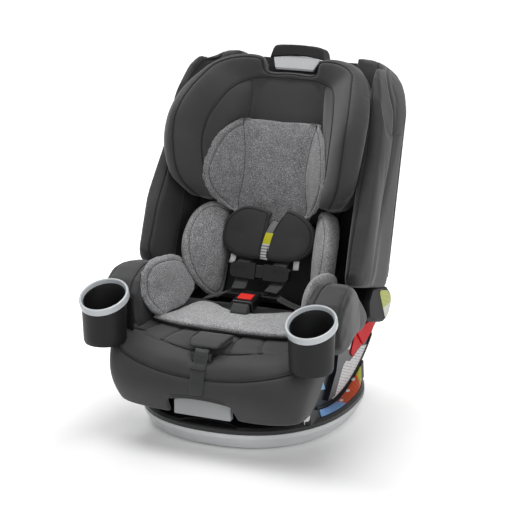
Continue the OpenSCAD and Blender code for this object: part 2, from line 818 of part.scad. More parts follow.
// Arched grip over the plate
handle_gap_z = plate_z1 + 1;
handle_rise = 16;
module headrest_handle() {
    hx = head_handle_w / 2;
    color("#17181a") on_back() difference() {
        slab_y(-13, 27) polygon(concat(
            [for (i = [-12 : 12]) let (x = hx * i / 12)
                [x, plate_top(x) + 1 + handle_rise * pow(1 - pow(abs(x) / hx, 5), 0.5)]],
            [for (i = [12 : -1 : -12]) let (x = hx * i / 12) [x, plate_top(x) + 1 - (abs(i) == 12 ? 0.5 : 0)]]));
        // Finger hollow at the back
        translate([-hx + 14, 10, handle_gap_z - 8]) cube([2 * hx - 28, 18, 16]);
    }
}

module headrest_lock_pin() {
    color("#85888a") on_back() translate([-6, slide_front, head_top - 23])
        cube([12, 7, plate_top(6) + 1 - head_top + 23]);
}

// ---------------------------------------------------------------- harness

// Padded D-shaped covers on the shoulder webbing
module shoulder_covers() {
    color("#252628") on_back() both() slab_y(cover_pad_y - cover_pad_t, cover_pad_y) hull() {
        translate([4, cover_pad_z + 5]) square([6, 88]);
        translate([46, cover_pad_z + 49]) circle(42, $fn = 64);
        translate([30, cover_pad_z + 15]) circle(15, $fn = 32);
        translate([34, cover_pad_z + 83]) circle(15, $fn = 32);
    }
}

// Printed strip that hangs between the covers
module harness_label() {
    color("#d8d25a") on_back() translate([-3.5, cover_pad_y - 4, 99]) cube([7, 1.2, 62]);
}

// End of the shoulder webbing, at the slot of a tongue
function tongue_slot() = seat_to_back(buckle_to_seat(-2.4, mouth_z + 12)[0],
                                      buckle_to_seat(-2.4, mouth_z + 12)[1]);

module shoulder_straps() {
    end = tongue_slot();
    color("#1f2021") on_back() both() ribbon([[strap_x, head_front - 2, 166],
        [strap_x, cover_pad_y + 8, 160], [strap_x, cover_pad_y + 2, 146], [strap_x, cover_pad_y + 2, cover_pad_z - 1],
        [strap_x, clip_y + 1, clip_z + clip_h / 2 + 1], [strap_x, clip_y + 1, clip_z - clip_h / 2 - 2],
        [strap_x - 4, end[0] + 1, end[1] + 3]], web_w, web_t);
}

// Lap webbing from the tongues down beside the hips
module lap_straps() {
    start = buckle_to_seat(0, mouth_z + 4);
    color("#1f2021") both() hull() {
        translate([51.6, start[0] - 8, start[1] - 4]) cube([2, web_w - 4, web_t]);
        translate([96, start[0] - 4, insert_top + 2]) cube([2, web_w - 4, web_t]);
    }
}

// Sleeve of the crotch webbing: a round root on the insert, rising to the buckle
root_r = 5;
root_y = buckle_to_seat(0, crotch_len)[0] - 13;
root_z = insert_top + gap + root_r;
module crotch_strap() {
    low = buckle_to_seat(buckle_t / 2 - 2, crotch_len - gap);
    high = buckle_to_seat(-buckle_t / 2 + 2, crotch_len - gap);
    color("#1a1b1c") slab_x(-17, 17) hull() {
        translate([root_y, root_z]) circle(root_r);
        polygon([[root_y, root_z - root_r], [root_y - 3, root_z + 4], [high[0] - 3, high[1] - 1],
                 high, low]);
    }
}

module buckle_body() {
    half = buckle_w / 2;
    color("#141516") on_buckle() difference() {
        hull() {
            translate([-half, -buckle_t / 2 + 3, crotch_len]) cube([buckle_w, buckle_t - 6, buckle_l]);
            translate([-half + 3, -buckle_t / 2, crotch_len + 2])
                cube([buckle_w - 6, buckle_t, buckle_l - 4]);
        }
        // Well for the button
        translate([-14, -buckle_t / 2 - 1, crotch_len + 10]) cube([28, 8, 21]);
        // Mouth for the tongues
        translate([-17, -0.8, mouth_z - 16]) cube([34, 3.6, 22]);
    }
}

module buckle_button() {
    color("#d5201f") on_buckle() translate([-14 + gap, -buckle_t / 2 - 1, crotch_len + 10 + gap])
        cube([28 - 2 * gap, 4, 21 - 2 * gap]);
}

// Steel tongue: a blade in the buckle's mouth and a loop for the webbing beside it
module tongue() {
    translate([1, -0.2, mouth_z - 15]) cube([14, 2.4, 20]);
    difference() {
        translate([1, -0.2, mouth_z + 3]) cube([50, 2.4, 16]);
        translate([strap_x - 4 - web_w / 2 - 1, -1, mouth_z + 8]) cube([web_w + 2, 4, 6]);
    }
}

module tongue_left() {
    color("#8f9294") on_buckle() side(true) tongue();
}

module tongue_right() {
    color("#8f9294") on_buckle() side(false) tongue();
}

// One half of the chest clip, with a channel for the webbing
module chest_clip() {
    difference() {
        slab_y(clip_y - 7, clip_y + 7) hull() {
            translate([8.5, clip_z - clip_h / 2]) square([4, clip_h]);
            translate([49, clip_z + 5]) circle(9, $fn = 32);
            translate([49, clip_z - 5]) circle(9, $fn = 32);
        }
        translate([strap_x - web_w / 2 - gap, clip_y - 1.2, clip_z - 30]) cube([web_w + 2 * gap, 4.4, 60]);
        slab_y(clip_y - 8, clip_y - 5.4) hull()
            for (x = [32, 46]) translate([x, clip_z + 2]) circle(4, $fn = 32);
    }
}

module chest_clip_left() {
    color("#1d1e20") on_back() side(true) chest_clip();
}

module chest_clip_right() {
    color("#1d1e20") on_back() side(false) chest_clip();
}

module chest_clip_button() {
    color("#2a2b2e") on_back() translate([-8, clip_y - 6, clip_z - 12]) cube([16, 13, 24]);
}

base_foot();
rubber_pads();
base_deck();
recline_rack();
recline_scale_green();
recline_scale_orange();
recline_scale_blue();
seat_pan();
side_frame_left();
side_frame_right();
corner_cover_left();
corner_cover_right();
corner_labels();
belt_path_trim_left();
belt_path_trim_right();
side_labels();
frame_screws();
back_shell();
cup_holder_left();
cup_holder_right();
cup_rim_left();
cup_rim_right();
seat_cushion();
front_cover();
adjuster_flap();
adjuster_case();
adjuster_lever();
adjuster_strap();
arm_pad_left();
arm_pad_right();
back_pad();
back_wing_left();
back_wing_right();
seat_insert();
hip_bolster_left();
hip_bolster_right();
torso_bolsters();
care_tag();
recline_handle();
recline_lock_bar();
headrest_shell();
headrest_cover();
head_pillow();
headrest_plate();
headrest_handle();
headrest_lock_pin();
shoulder_covers();
harness_label();
shoulder_straps();
lap_straps();
crotch_strap();
buckle_body();
buckle_button();
tongue_left();
tongue_right();
chest_clip_left();
chest_clip_right();
chest_clip_button();
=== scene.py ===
"""Looks of the convertible car seat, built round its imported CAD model. All lengths are in metres;
the helpers at() and back() take millimetres of the seat's frame and of its leaning back."""
import math

import bmesh
import bpy
import numpy as np
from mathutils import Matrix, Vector, noise
from mathutils.bvhtree import BVHTree
from mathutils.kdtree import KDTree


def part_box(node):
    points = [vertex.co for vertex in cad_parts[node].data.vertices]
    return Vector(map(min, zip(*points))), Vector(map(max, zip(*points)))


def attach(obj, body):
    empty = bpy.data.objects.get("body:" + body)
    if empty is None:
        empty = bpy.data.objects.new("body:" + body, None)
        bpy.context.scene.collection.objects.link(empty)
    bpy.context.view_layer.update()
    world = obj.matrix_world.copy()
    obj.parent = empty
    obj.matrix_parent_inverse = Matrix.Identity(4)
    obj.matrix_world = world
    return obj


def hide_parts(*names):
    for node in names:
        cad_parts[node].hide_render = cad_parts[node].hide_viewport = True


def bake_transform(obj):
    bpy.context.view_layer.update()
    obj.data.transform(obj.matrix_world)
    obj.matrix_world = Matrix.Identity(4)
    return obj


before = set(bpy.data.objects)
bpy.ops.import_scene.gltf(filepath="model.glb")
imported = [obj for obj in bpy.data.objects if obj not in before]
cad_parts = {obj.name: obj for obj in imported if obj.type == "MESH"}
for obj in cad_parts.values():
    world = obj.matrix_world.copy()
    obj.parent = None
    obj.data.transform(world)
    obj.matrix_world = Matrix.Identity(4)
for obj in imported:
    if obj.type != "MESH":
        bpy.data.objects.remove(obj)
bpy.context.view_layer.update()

MM = 0.001
LEAN = math.radians(16)
TILT = math.radians(80)
# y and z of the frames' origins, in millimetres
BACK_ORIGIN = (95, 165)
BUCKLE_ORIGIN = (-50, 215)
PUFF_FRAMES = 20
NEXT = (-1, 0, 1, 2)  # a curve's span and its two neighbours
scene = bpy.context.scene


# ---- frames and paths

def at(x, y, z):
    """A point of the seat's frame, in millimetres."""
    return Vector((x, y, z)) * MM


def back(x, y, z):
    """A point of the leaning back: y rearward, z up the back, in millimetres."""
    c, s = math.cos(LEAN), math.sin(LEAN)
    return at(x, BACK_ORIGIN[0] + y * c + z * s, BACK_ORIGIN[1] - y * s + z * c)


def ats(points):
    return [at(*p) for p in points]


def backs(points):
    return [back(*p) for p in points]


def from_back(co):
    """x, y rearward and z up the back, in millimetres, of rows of points."""
    c, s = math.cos(LEAN), math.sin(LEAN)
    y, z = co[:, 1] / MM - BACK_ORIGIN[0], co[:, 2] / MM - BACK_ORIGIN[1]
    return co[:, 0] / MM, y * c - z * s, y * s + z * c


def buckle(x, y, z):
    """A point of the buckle's frame, z along the buckle, in millimetres."""
    c, s = math.cos(TILT), math.sin(TILT)
    return at(x, BUCKLE_ORIGIN[0] + y * c + z * s, BUCKLE_ORIGIN[1] - y * s + z * c)


def spow(v, e):
    """Power that keeps the sign."""
    return math.copysign(abs(v) ** e, v)


def curve(a, b, c, d, t):
    """Catmull-Rom point between b and c, at share t."""
    return 0.5 * ((2 * b) + (c - a) * t + (2 * a - 5 * b + 4 * c - d) * t * t
                  + (3 * b - a - 3 * c + d) * t ** 3)


def path(points, step=3.0):
    """Smooth curve through the points, as points about step millimetres apart."""
    p = [Vector(q) for q in points]
    n = len(p)
    out = []
    for i in range(n - 1):
        a, b, c, d = (p[min(n - 1, max(0, i + k))] for k in NEXT)
        m = max(2, int((c - b).length / (step * MM)) + 1)
        out += [curve(a, b, c, d, j / m) for j in range(m)]
    return out + [p[-1]]


def loop(points, samples):
    """Smooth closed curve through the points, with about that many samples."""
    n = len(points)
    steps = samples // n + 1
    out = []
    for i in range(n):
        a, b, c, d = (points[(i + k) % n] for k in NEXT)
        out += [curve(a, b, c, d, j / steps) for j in range(steps)]
    return out


def mirrored(points, side=-1):
    return [Vector((side * p[0], p[1], p[2])) for p in points]


# ---- meshes

def linked(name, data):
    """A new object of the scene that holds data."""
    ob = bpy.data.objects.new(name, data)
    scene.collection.objects.link(ob)
    return ob


def reworked(me, work):
    """Runs a bmesh job on the mesh."""
    bm = bmesh.new()
    bm.from_mesh(me)
    work(bm)
    bm.to_mesh(me)
    bm.free()


def add(name, verts, faces, smooth=True):
    me = bpy.data.meshes.new(name)
    me.from_pydata([tuple(v) for v in verts], [], faces)
    me.validate()
    ob = linked(name, me)
    reworked(me, lambda bm: bmesh.ops.recalc_face_normals(bm, faces=bm.faces))
    me.polygons.foreach_set("use_smooth", [smooth] * len(me.polygons))
    return ob


def rows_of(items, what):
    out = np.empty(len(items) * 3, np.float32)
    items.foreach_get(what, out)
    return out.reshape(-1, 3).astype(float)


def get_co(ob):
    return rows_of(ob.data.vertices, "co")


def get_normals(ob):
    return rows_of(ob.data.vertex_normals, "vector")


def set_co(ob, co):
    ob.data.vertices.foreach_set("co", co.astype(np.float32).ravel())
    ob.data.update()


def bake(ob):
    """Turns the modifiers of ob into its mesh."""
    dg = bpy.context.evaluated_depsgraph_get()
    dg.update()
    me = bpy.data.meshes.new_from_object(ob.evaluated_get(dg))
    ob.modifiers.clear()
    ob.data = me
    me.polygons.foreach_set("use_smooth", [True] * len(me.polygons))


def from_node(node, name):
    """A welded copy of a CAD node's mesh, as a new piece."""
    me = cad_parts[node].data.copy()
    me.materials.clear()
    ob = linked(name, me)
    reworked(me, lambda bm: bmesh.ops.remove_doubles(bm, verts=bm.verts, dist=1e-5))
    for key in list(ob.keys()):
        del ob[key]
    return ob


def remesh(ob, size):
    m = ob.modifiers.new("voxels", "REMESH")
    m.mode = "VOXEL"
    m.voxel_size = size * MM
    bake(ob)


def relax(ob, times):
    m = ob.modifiers.new("relax", "SMOOTH")
    m.factor = 0.5
    m.iterations = times
    bake(ob)


def subdivide(ob):
    m = ob.modifiers.new("fine", "SUBSURF")
    m.levels = m.render_levels = 1
    bake(ob)


def swell(ob, by):
    """Moves the surface along its normals, in millimetres."""
    set_co(ob, get_co(ob) + get_normals(ob) * by * MM)


def near(co, lines):
    """Distance from each point to the nearest point of the lines, in metres."""
    pts = [p for l in lines for p in l]
    kd = KDTree(len(pts))
    for i, p in enumerate(pts):
        kd.insert(p, i)
    kd.balance()
    return np.array([kd.find(c)[2] for c in co])


def onto(ob, points, lift=0.0):
    """Points moved to the nearest place on ob's surface, lifted by some millimetres."""
    bvh = BVHTree.FromPolygons([v.co for v in ob.data.vertices], [p.vertices for p in ob.data.polygons])
    found = [bvh.find_nearest(p)[:2] for p in points]
    return [place + normal * lift * MM for place, normal in found]


def even(points, times=3):
    """Smooths a row of points, ends kept."""
    p = [Vector(q) for q in points]
    for _ in range(times):
        p = [p[0]] + [(p[i - 1] + 2 * p[i] + p[i + 1]) / 4 for i in range(1, len(p) - 1)] + [p[-1]]
    return p


def press(ob, lines, depth, width):
    """Sinks the surface along lines, as a sewn seam does."""
    co, no = get_co(ob), get_normals(ob)
    d = near(co, lines) / (width * MM)
    set_co(ob, co - no * (depth * MM * np.exp(-d * d))[:, None])


def puff(ob, pressure, cap, seams=()):
    """Blows the piece up as cloth with its seams held, and caps how far a point moves."""
    rest = get_co(ob)
    hold = np.exp(-(near(rest, seams) / (5 * MM)) ** 2) if seams else np.zeros(len(rest))
    group = ob.vertex_groups.new(name="held")
    for i in np.nonzero(hold > 0.05)[0]:
        group.add([int(i)], float(min(1.0, hold[i] * 1.3)), "REPLACE")
    m = ob.modifiers.new("cloth", "CLOTH")
    s = m.settings
    s.quality = 3
    s.mass = 0.3
    s.tension_stiffness = s.compression_stiffness = s.shear_stiffness = 12
    s.bending_stiffness = 0.6
    s.use_pressure = True
    s.uniform_pressure_force = pressure
    s.effector_weights.gravity = 0
    s.vertex_group_mass = "held"
    m.collision_settings.use_collision = False
    m.point_cache.frame_start, m.point_cache.frame_end = 1, PUFF_FRAMES
    for f in range(1, PUFF_FRAMES + 1):
        scene.frame_set(f)
    dg = bpy.context.evaluated_depsgraph_get()
    move = get_co(ob.evaluated_get(dg)) - rest
    ob.modifiers.clear()
    ob.vertex_groups.clear()
    scene.frame_set(1)
    size = np.linalg.norm(move, axis=1)
    # soft cap, so that the surface keeps its curve where it reaches the limit
    limit = cap * MM
    move *= (limit * np.tanh(size / limit) / np.maximum(size, 1e-9))[:, None]
    set_co(ob, rest + move)


def mirror_copy(ob, name):
    twin = linked(name, ob.data.copy())
    co = get_co(twin)
    co[:, 0] *= -1
    set_co(twin, co)
    reworked(twin.data, lambda bm: bmesh.ops.reverse_faces(bm, faces=bm.faces))
    return twin


def sweep(name, paths, section, up=None):
    """Solid swept along each path; section is a list of (side, height) in metres. up is a fixed side
    direction for flat webbing."""
    verts, faces = [], []
    m = len(section)
    for pts in paths:
        n = len(pts)
        base = len(verts)
        side_prev = None
        for i, p in enumerate(pts):
            t = (pts[min(n - 1, i + 1)] - pts[max(0, i - 1)]).normalized()
            if up is not None:
                side = Vector(up) - t * Vector(up).dot(t)
            elif side_prev is None:
                ref = Vector((0, 0, 1)) if abs(t.z) < 0.9 else Vector((1, 0, 0))
                side = t.cross(ref)
            else:
                side = side_prev - t * side_prev.dot(t)
            side.normalize()
            side_prev = side
            nor = side.cross(t)
            verts += [p + side * u + nor * v for u, v in section]
        for i in range(n - 1):
            row, above = base + i * m, base + (i + 1) * m
            for k in range(m):
                k2 = (k + 1) % m
                faces.append((row + k, row + k2, above + k2, above + k))
        faces.append(tuple(base + k for k in range(m)))
        faces.append(tuple(base + (n - 1) * m + k for k in reversed(range(m))))
    return add(name, verts, faces)


def ring(r, sides=8):
    return [(r * MM * math.cos(2 * math.pi * k / sides), r * MM * math.sin(2 * math.pi * k / sides))
            for k in range(sides)]


def flat(w, t, edge=0.35):
    """Section of woven webbing w wide and t thick, with rounded edges."""
    a, b, e = w / 2 * MM, t / 2 * MM, edge * t * MM
    low = [(-a, -b + e), (-a + e, -b), (-a * 0.4, -b * 0.92), (a * 0.4, -b * 0.92), (a - e, -b),
           (a, -b + e)]
    return low + [(x, -y) for x, y in low[::-1]]


def pad(name, face, rim, rear, crown):
    """Stuffed pad: a crowned face inside its seam, a gusset out to the rim and in to a flat rear.
    The three outlines are closed rows of matching control points."""
    samples, rings, gusset = 96, 9, 8
    f, r, b = (loop(points, samples) for points in (face, rim, rear))
    n = len(f)
    cf, cb = sum(f, Vector()) / n, sum(b, Vector()) / n
    normal = (cf - cb).normalized()
    verts = [cf + normal * crown * MM]
    rows = []
    for k in range(1, rings + 1):
        q = k / rings
        rows.append([cf.lerp(p, q) + normal * crown * MM * (1 - q ** 2.2) for p in f])
    for k in range(1, gusset):
        q = k / gusset
        row = []
        for i in range(n):
            a, c, d = f[i], r[i], b[i]
            row.append(a * (1 - q) ** 2 + (2 * c - 0.5 * (a + d)) * (2 * q * (1 - q)) + d * q * q)
        rows.append(row)
    rows.append(b)
    for k in range(rings - 1, 0, -2):
        rows.append([cb.lerp(p, k / rings) for p in b])
    for row in rows:
        verts += row
    verts.append(cb)
    faces = []
    for i in range(n):
        j = (i + 1) % n
        faces.append((0, 1 + j, 1 + i))
        for k in range(len(rows) - 1):
            a, c = 1 + k * n, 1 + (k + 1) * n
            faces.append((a + i, a + j, c + j, c + i))
        last = 1 + (len(rows) - 1) * n
        faces.append((last + i, last + j, len(verts) - 1))
    return add(name, verts, faces)


def loft(name, sections, samples=44):
    """Closed skin through closed sections of matching control points."""
    m = len(sections)
    fine = []
    for i in range(m - 1):
        near_by = [sections[min(m - 1, max(0, i + k))] for k in NEXT]
        fine += [[curve(*p, j / 4) for p in zip(*near_by)] for j in range(4)]
    fine.append(sections[-1])
    rows = [loop(sec, samples) for sec in fine]
    n = len(rows[0])
    verts = [p for row in rows for p in row]
    faces = [(k * n + i, k * n + (i + 1) % n, (k + 1) * n + (i + 1) % n, (k + 1) * n + i)
             for k in range(len(rows) - 1) for i in range(n)]
    for base, row in ((0, rows[0]), ((len(rows) - 1) * n, rows[-1])):
        verts.append(sum(row, Vector()) / n)
        faces += [(base + i, base + (i + 1) % n, len(verts) - 1) for i in range(n)]
    return add(name, verts, faces)


def merge(name, *obs):
    """One object from several overlapping closed ones; a later remesh joins their skins."""
    bm = bmesh.new()
    for o in obs:
        bm.from_mesh(o.data)
    me = bpy.data.meshes.new(name)
    bm.to_mesh(me)
    bm.free()
    for o in obs:
        bpy.data.objects.remove(o)
    return linked(name, me)


# ---- materials

class Shader:
    """Small builder for node materials; places are object coordinates, in metres."""

    def __init__(self, name):
        self.m = bpy.data.materials.new(name)
        self.m.use_nodes = True
        self.t = self.m.node_tree
        self.b = self.t.nodes["Principled BSDF"]
        self.co = self.t.nodes.new("ShaderNodeTexCoord").outputs["Object"]

    def node(self, kind, **inputs):
        n = self.t.nodes.new("ShaderNode" + kind)
        for k, v in inputs.items():
            self.plug(n.inputs[k.replace("_", " ")], v)
        return n

    def plug(self, socket, v):
        if isinstance(v, bpy.types.NodeSocket):
            self.t.links.new(v, socket)
        else:
            socket.default_value = v

    def scaled(self, x, y, z, rot=(0, 0, 0)):
        n = self.node("Mapping", Vector=self.co, Scale=(x, y, z), Rotation=rot)
        return n.outputs["Vector"]

    def noise(self, scale, detail=2.0, rough=0.5, where=None):
        n = self.node("TexNoise", Vector=where or self.co, Scale=scale, Detail=detail, Roughness=rough)
        return n.outputs["Fac"]

    def ramp(self, fac, *stops, how="LINEAR"):
        n = self.t.nodes.new("ShaderNodeValToRGB")
        n.color_ramp.interpolation = how
        self.plug(n.inputs["Fac"], fac)
        e = n.color_ramp.elements
        while len(e) < len(stops):
            e.new(0.5)
        for el, (pos, c) in zip(e, stops):
            el.position = pos
            el.color = (*c, 1) if isinstance(c, tuple) else (c, c, c, 1)
        return n.outputs["Color"]

    def math(self, op, a, b=0.0):
        n = self.t.nodes.new("ShaderNodeMath")
        n.operation = op
        self.plug(n.inputs[0], a)
        self.plug(n.inputs[1], b)
        return n.outputs[0]

    def mix(self, fac, a, b):
        n = self.t.nodes.new("ShaderNodeMix")
        n.data_type = "RGBA"
        self.plug(n.inputs[0], fac)
        self.plug(n.inputs[6], a if isinstance(a, bpy.types.NodeSocket) else (*a, 1))
        self.plug(n.inputs[7], b if isinstance(b, bpy.types.NodeSocket) else (*b, 1))
        return n.outputs[2]

    def done(self, color, rough, height=None, dist=0.2, strength=0.5, **fixed):
        self.plug(self.b.inputs["Base Color"], color)
        self.plug(self.b.inputs["Roughness"], rough)
        if height is not None:
            n = self.node("Bump", Height=height, Distance=dist * MM, Strength=strength)
            self.plug(self.b.inputs["Normal"], n.outputs["Normal"])
        for k, v in fixed.items():
            self.b.inputs[k.replace("_", " ")].default_value = v
        return self.m


def plastic(name, color, rough, grain=1400, dist=0.06, **fixed):
    s = Shader(name)
    broad = s.noise(14, 3)
    fine = s.noise(grain, 2, 0.6)
    dark = tuple(c * 0.9 for c in color)
    light = tuple(min(1.0, c * 1.06) for c in color)
    r = s.ramp(broad, (0.3, rough - 0.04), (0.7, rough + 0.05))
    return s.done(s.ramp(broad, (0.3, dark), (0.7, light)), r, fine, dist, 0.5, **fixed)


def knit(name, low, high, sheen=0.25):
    """Smooth close-knit cover cloth: a fine rib and slow shade changes."""
    s = Shader(name)
    rib = s.node("TexWave", Vector=s.scaled(1, 0.35, 1), Scale=420.0, Distortion=2.0, Detail=1.0)
    yarn = s.noise(950, 2, 0.6)
    slow = s.noise(9, 3, 0.55)
    shade = s.math("ADD", s.math("MULTIPLY", slow, 0.75), s.math("MULTIPLY", yarn, 0.25))
    height = s.math("ADD", s.math("MULTIPLY", rib.outputs["Fac"], 0.5), yarn)
    return s.done(s.ramp(shade, (0.36, low), (0.66, high)), s.ramp(slow, (0.3, 0.62), (0.7, 0.74)),
                  height, 0.16, 0.35, Sheen_Weight=sheen, Sheen_Roughness=0.45, Specular_IOR_Level=0.35)


def melange(name, dark, mid, light):
    """Salt-and-pepper cloth: flecks of pale yarn in a dark ground."""
    s = Shader(name)
    slub = s.noise(820, 2, 0.6, s.scaled(1.0, 0.8, 0.6))
    cross = s.noise(1150, 2, 0.6, s.scaled(0.6, 1.0, 1.1))
    cloud = s.noise(60, 3, 0.6)
    fleck = s.math("ADD", s.math("MULTIPLY", slub, 0.6), s.math("MULTIPLY", cross, 0.4))
    fleck = s.math("ADD", fleck, s.math("MULTIPLY", s.math("SUBTRACT", cloud, 0.5), 0.10))
    color = s.ramp(fleck, (0.34, dark), (0.50, mid), (0.66, light))
    return s.done(color, 0.88, fleck, 0.55, 0.7,
                  Sheen_Weight=0.3, Sheen_Roughness=0.5, Specular_IOR_Level=0.25)


def woven(name, color):
    """Webbing: twill ribs, with painted shade darkening the groove between the yarns."""
    s = Shader(name)
    rib = s.node("TexWave", Vector=s.scaled(1, 0, 0), Scale=150.0, Distortion=0.4)
    cross = s.node("TexWave", Vector=s.scaled(0.5, 0.6, 0.6, (0.3, 0.2, 0)), Scale=330.0, Distortion=0.3)
    h = s.math("ADD", rib.outputs["Fac"], s.math("MULTIPLY", cross.outputs["Fac"], 0.7))
    # painted shade: the low places between the ribs are coloured darker
    dark = tuple(c * 0.55 for c in color)
    return s.done(s.ramp(h, (0.2, dark), (1.0, color)), 0.62, h, 0.3, 0.6,
                  Sheen_Weight=0.2, Sheen_Roughness=0.4)


def metal(name, color, rough):
    s = Shader(name)
    brush = s.noise(300, 3, 0.6, s.scaled(0.06, 1, 1))
    return s.done(s.ramp(brush, (0.3, tuple(c * 0.8 for c in color)), (0.7, color)),
                  s.ramp(brush, (0.3, rough - 0.06), (0.7, rough + 0.1)), brush, 0.05, 0.4, Metallic=1.0)


def banded(name, *bands):
    """Blank strip in plain bands up its height, with ticks across the lowest. Each band is the height
    it starts at and its colour."""
    s = Shader(name)
    z = s.node("SeparateXYZ", Vector=s.co).outputs["Z"]
    foot = bands[0][0]
    share = s.node("MapRange", Value=z, From_Min=foot, From_Max=foot + 0.1).outputs["Result"]
    ground = s.ramp(share, *[((height - foot) / 0.1, c) for height, c in bands], how="CONSTANT")
    tick = s.math("LESS_THAN", s.math("FRACT", s.math("MULTIPLY", z, 190.0)), 0.45)
    low = s.math("LESS_THAN", z, bands[1][0])
    weave = s.noise(500, 2)
    c = s.mix(s.math("MULTIPLY", tick, low), ground, (0.16, 0.16, 0.17))
    return s.done(c, 0.6, weave, 0.05, 0.4)


def printed(name, ground, ink, lines, fill, seed, patch=None):
    """Blank label stock with rows of plain generic bars. patch is a plain field: axis, from, to, colour."""
    s = Shader(name)
    sep = s.node("SeparateXYZ", Vector=s.co)
    slant = s.math("ADD", sep.outputs["Z"], s.math("MULTIPLY", sep.outputs["Y"], 0.4))
    row = s.math("FRACT", s.math("MULTIPLY", slant, lines))
    gap_in_row = s.noise(fill, 1, 0.5, s.scaled(1, 1, 4))
    ink_on = s.math("MULTIPLY", s.math("LESS_THAN", row, 0.42), s.math("GREATER_THAN", gap_in_row, seed))
    paper = s.noise(220, 2)
    c = s.mix(ink_on, s.ramp(paper, (0.3, tuple(v * 0.95 for v in ground)), (0.7, ground)), ink)
    if patch:
        axis, low, high, field = patch
        v = sep.outputs[axis]
        inside = s.math("MULTIPLY", s.math("GREATER_THAN", v, low), s.math("LESS_THAN", v, high))
        c = s.mix(inside, c, field)
    return s.done(c, 0.42, paper, 0.03, 0.3, Specular_IOR_Level=0.3)


M = {
    "cloth": knit("charcoal_cover_cloth", 0.026, (0.040, 0.040, 0.041)),
    "cloth_deep": knit("charcoal_back_cloth", (0.021, 0.021, 0.022), (0.032, 0.032, 0.034), 0.15),
    "heather": melange("grey_heather_cloth", (0.045, 0.045, 0.048), (0.19, 0.19, 0.195),
                       (0.52, 0.52, 0.53)),
    # painted light: the same heather cloth made lighter for the upward-facing seat insert
    "heather_seat_painted_light": melange("seat_heather_cloth", (0.06, 0.06, 0.064), (0.27, 0.27, 0.275),
                            (0.70, 0.70, 0.71)),
    # painted shade: the same heather cloth made darker for the head pillow
    "heather_head_painted_shade": melange("head_heather_cloth", (0.035, 0.035, 0.038), (0.148, 0.148, 0.152),
                            (0.42, 0.42, 0.43)),
    # painted light: the same heather cloth made lighter for the torso bolsters
    "heather_side_painted_light": melange("side_heather_cloth", (0.052, 0.052, 0.056), (0.225, 0.225, 0.23),
                            (0.60, 0.60, 0.61)),
    "piping": knit("black_piping", 0.006, 0.012, 0.1),
    "thread": knit("seam_thread", 0.010, 0.018, 0.1),
    "webbing": woven("black_webbing", (0.022, 0.023, 0.024)),
    "black": plastic("black_moulded_plastic", (0.018, 0.018, 0.019), 0.45),
    "cup": plastic("cup_black_plastic", (0.009, 0.009, 0.010), 0.52, Specular_IOR_Level=0.3),
    "inside": plastic("matte_black_plastic", (0.009, 0.009, 0.009), 0.6),
    "gloss": plastic("gloss_black_plastic", (0.006, 0.006, 0.007), 0.24, 500, 0.02),
    "frame": plastic("graphite_shell_plastic",
                     (0.010, 0.012, 0.016), 0.36, 900, 0.04, Specular_IOR_Level=0.3),
    "light": plastic("light_grey_plastic", (0.36, 0.37, 0.375), 0.45),
    "rim": plastic("cup_rim_plastic", (0.56, 0.59, 0.61), 0.30),
    "foot": plastic("pale_foot_plastic", (0.66, 0.67, 0.68), 0.42),
    "rubber": plastic("grey_rubber", (0.05, 0.05, 0.05), 0.8),
    "red": plastic("red_belt_path_plastic", (0.70, 0.010, 0.015), 0.5, Specular_IOR_Level=0.08),
    "button": plastic("red_button_plastic", (0.72, 0.028, 0.02), 0.32, 900, 0.03),
    "steel": metal("brushed_steel", (0.42, 0.43, 0.44), 0.34),
    "dark_steel": metal("dark_steel", (0.13, 0.135, 0.14), 0.4),
    "olive": printed("scale_olive", (0.42, 0.44, 0.02), (0.10, 0.11, 0.01), 0, 30, 2, ("Y", 0.128, 1.0,
                     (0.01, 0.01, 0.01))),
    "orange": printed("scale_orange", (0.56, 0.07, 0.015), (0.18, 0.02, 0.01), 0, 30, 2),
    "blue": printed("scale_blue", (0.20, 0.38, 0.72), (0.05, 0.1, 0.3), 0, 30, 2),
    "white_label": printed("white_label", (0.72, 0.72, 0.73), (0.42, 0.36, 0.37), 170, 260, 0.5,
                           ("Y", -1.0, -0.02, (0.25, 0.47, 0.72))),
    "handle": plastic("handle_black_plastic", (0.016, 0.016, 0.017), 0.5, Specular_IOR_Level=0.3),
    "corner": plastic("corner_black_plastic",
                      (0.005, 0.005, 0.006), 0.5, 500, 0.02, Specular_IOR_Level=0.08),
    "clip": plastic("clip_gloss_plastic", (0.011, 0.011, 0.012), 0.24, 700, 0.03),
    "tongue": plastic("tongue_black_plastic", (0.016, 0.016, 0.017), 0.28, 700, 0.03),
    "yellow_label": printed("yellow_label", (0.46, 0.50, 0.07), (0.36, 0.39, 0.08), 120, 200, 0.52,
                            ("Z", 0.0, 0.188, (0.66, 0.67, 0.60))),
    "strip": banded("harness_length_strip", (0.27, (0.55, 0.55, 0.56)), (0.310, (0.50, 0.47, 0.01)),
                    (0.330, (0.12, 0.12, 0.125))),
    "dot": plastic("white_dot_paint", (0.70, 0.70, 0.69), 0.5),
    "paper": printed("white_tag", (0.70, 0.70, 0.70), (0.45, 0.45, 0.46), 0, 200, 2),
}


def give(ob, key):
    ob.data.materials.clear()
    ob.data.materials.append(M[key])


def settle(ob, key, body, nodes=()):
    """Last touches of a piece: material, body, and hiding the CAD nodes it stands for."""
    give(ob, key)
    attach(ob, body)
    if nodes:
        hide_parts(*nodes)
    return ob


# ---- CAD nodes that stay

def carried(node, key, bevel):
    """Gives a CAD node its material, and a bevel of that many millimetres."""
    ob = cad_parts[node]
    give(ob, key)
    if bevel:
        w = ob.modifiers.new("weld", "WELD")
        w.merge_threshold = 1e-5
        b = ob.modifiers.new("edge", "BEVEL")
        b.width = bevel * MM
        b.segments = 3
        b.limit_method = "ANGLE"
        b.angle_limit = math.radians(35)
        b.harden_normals = True


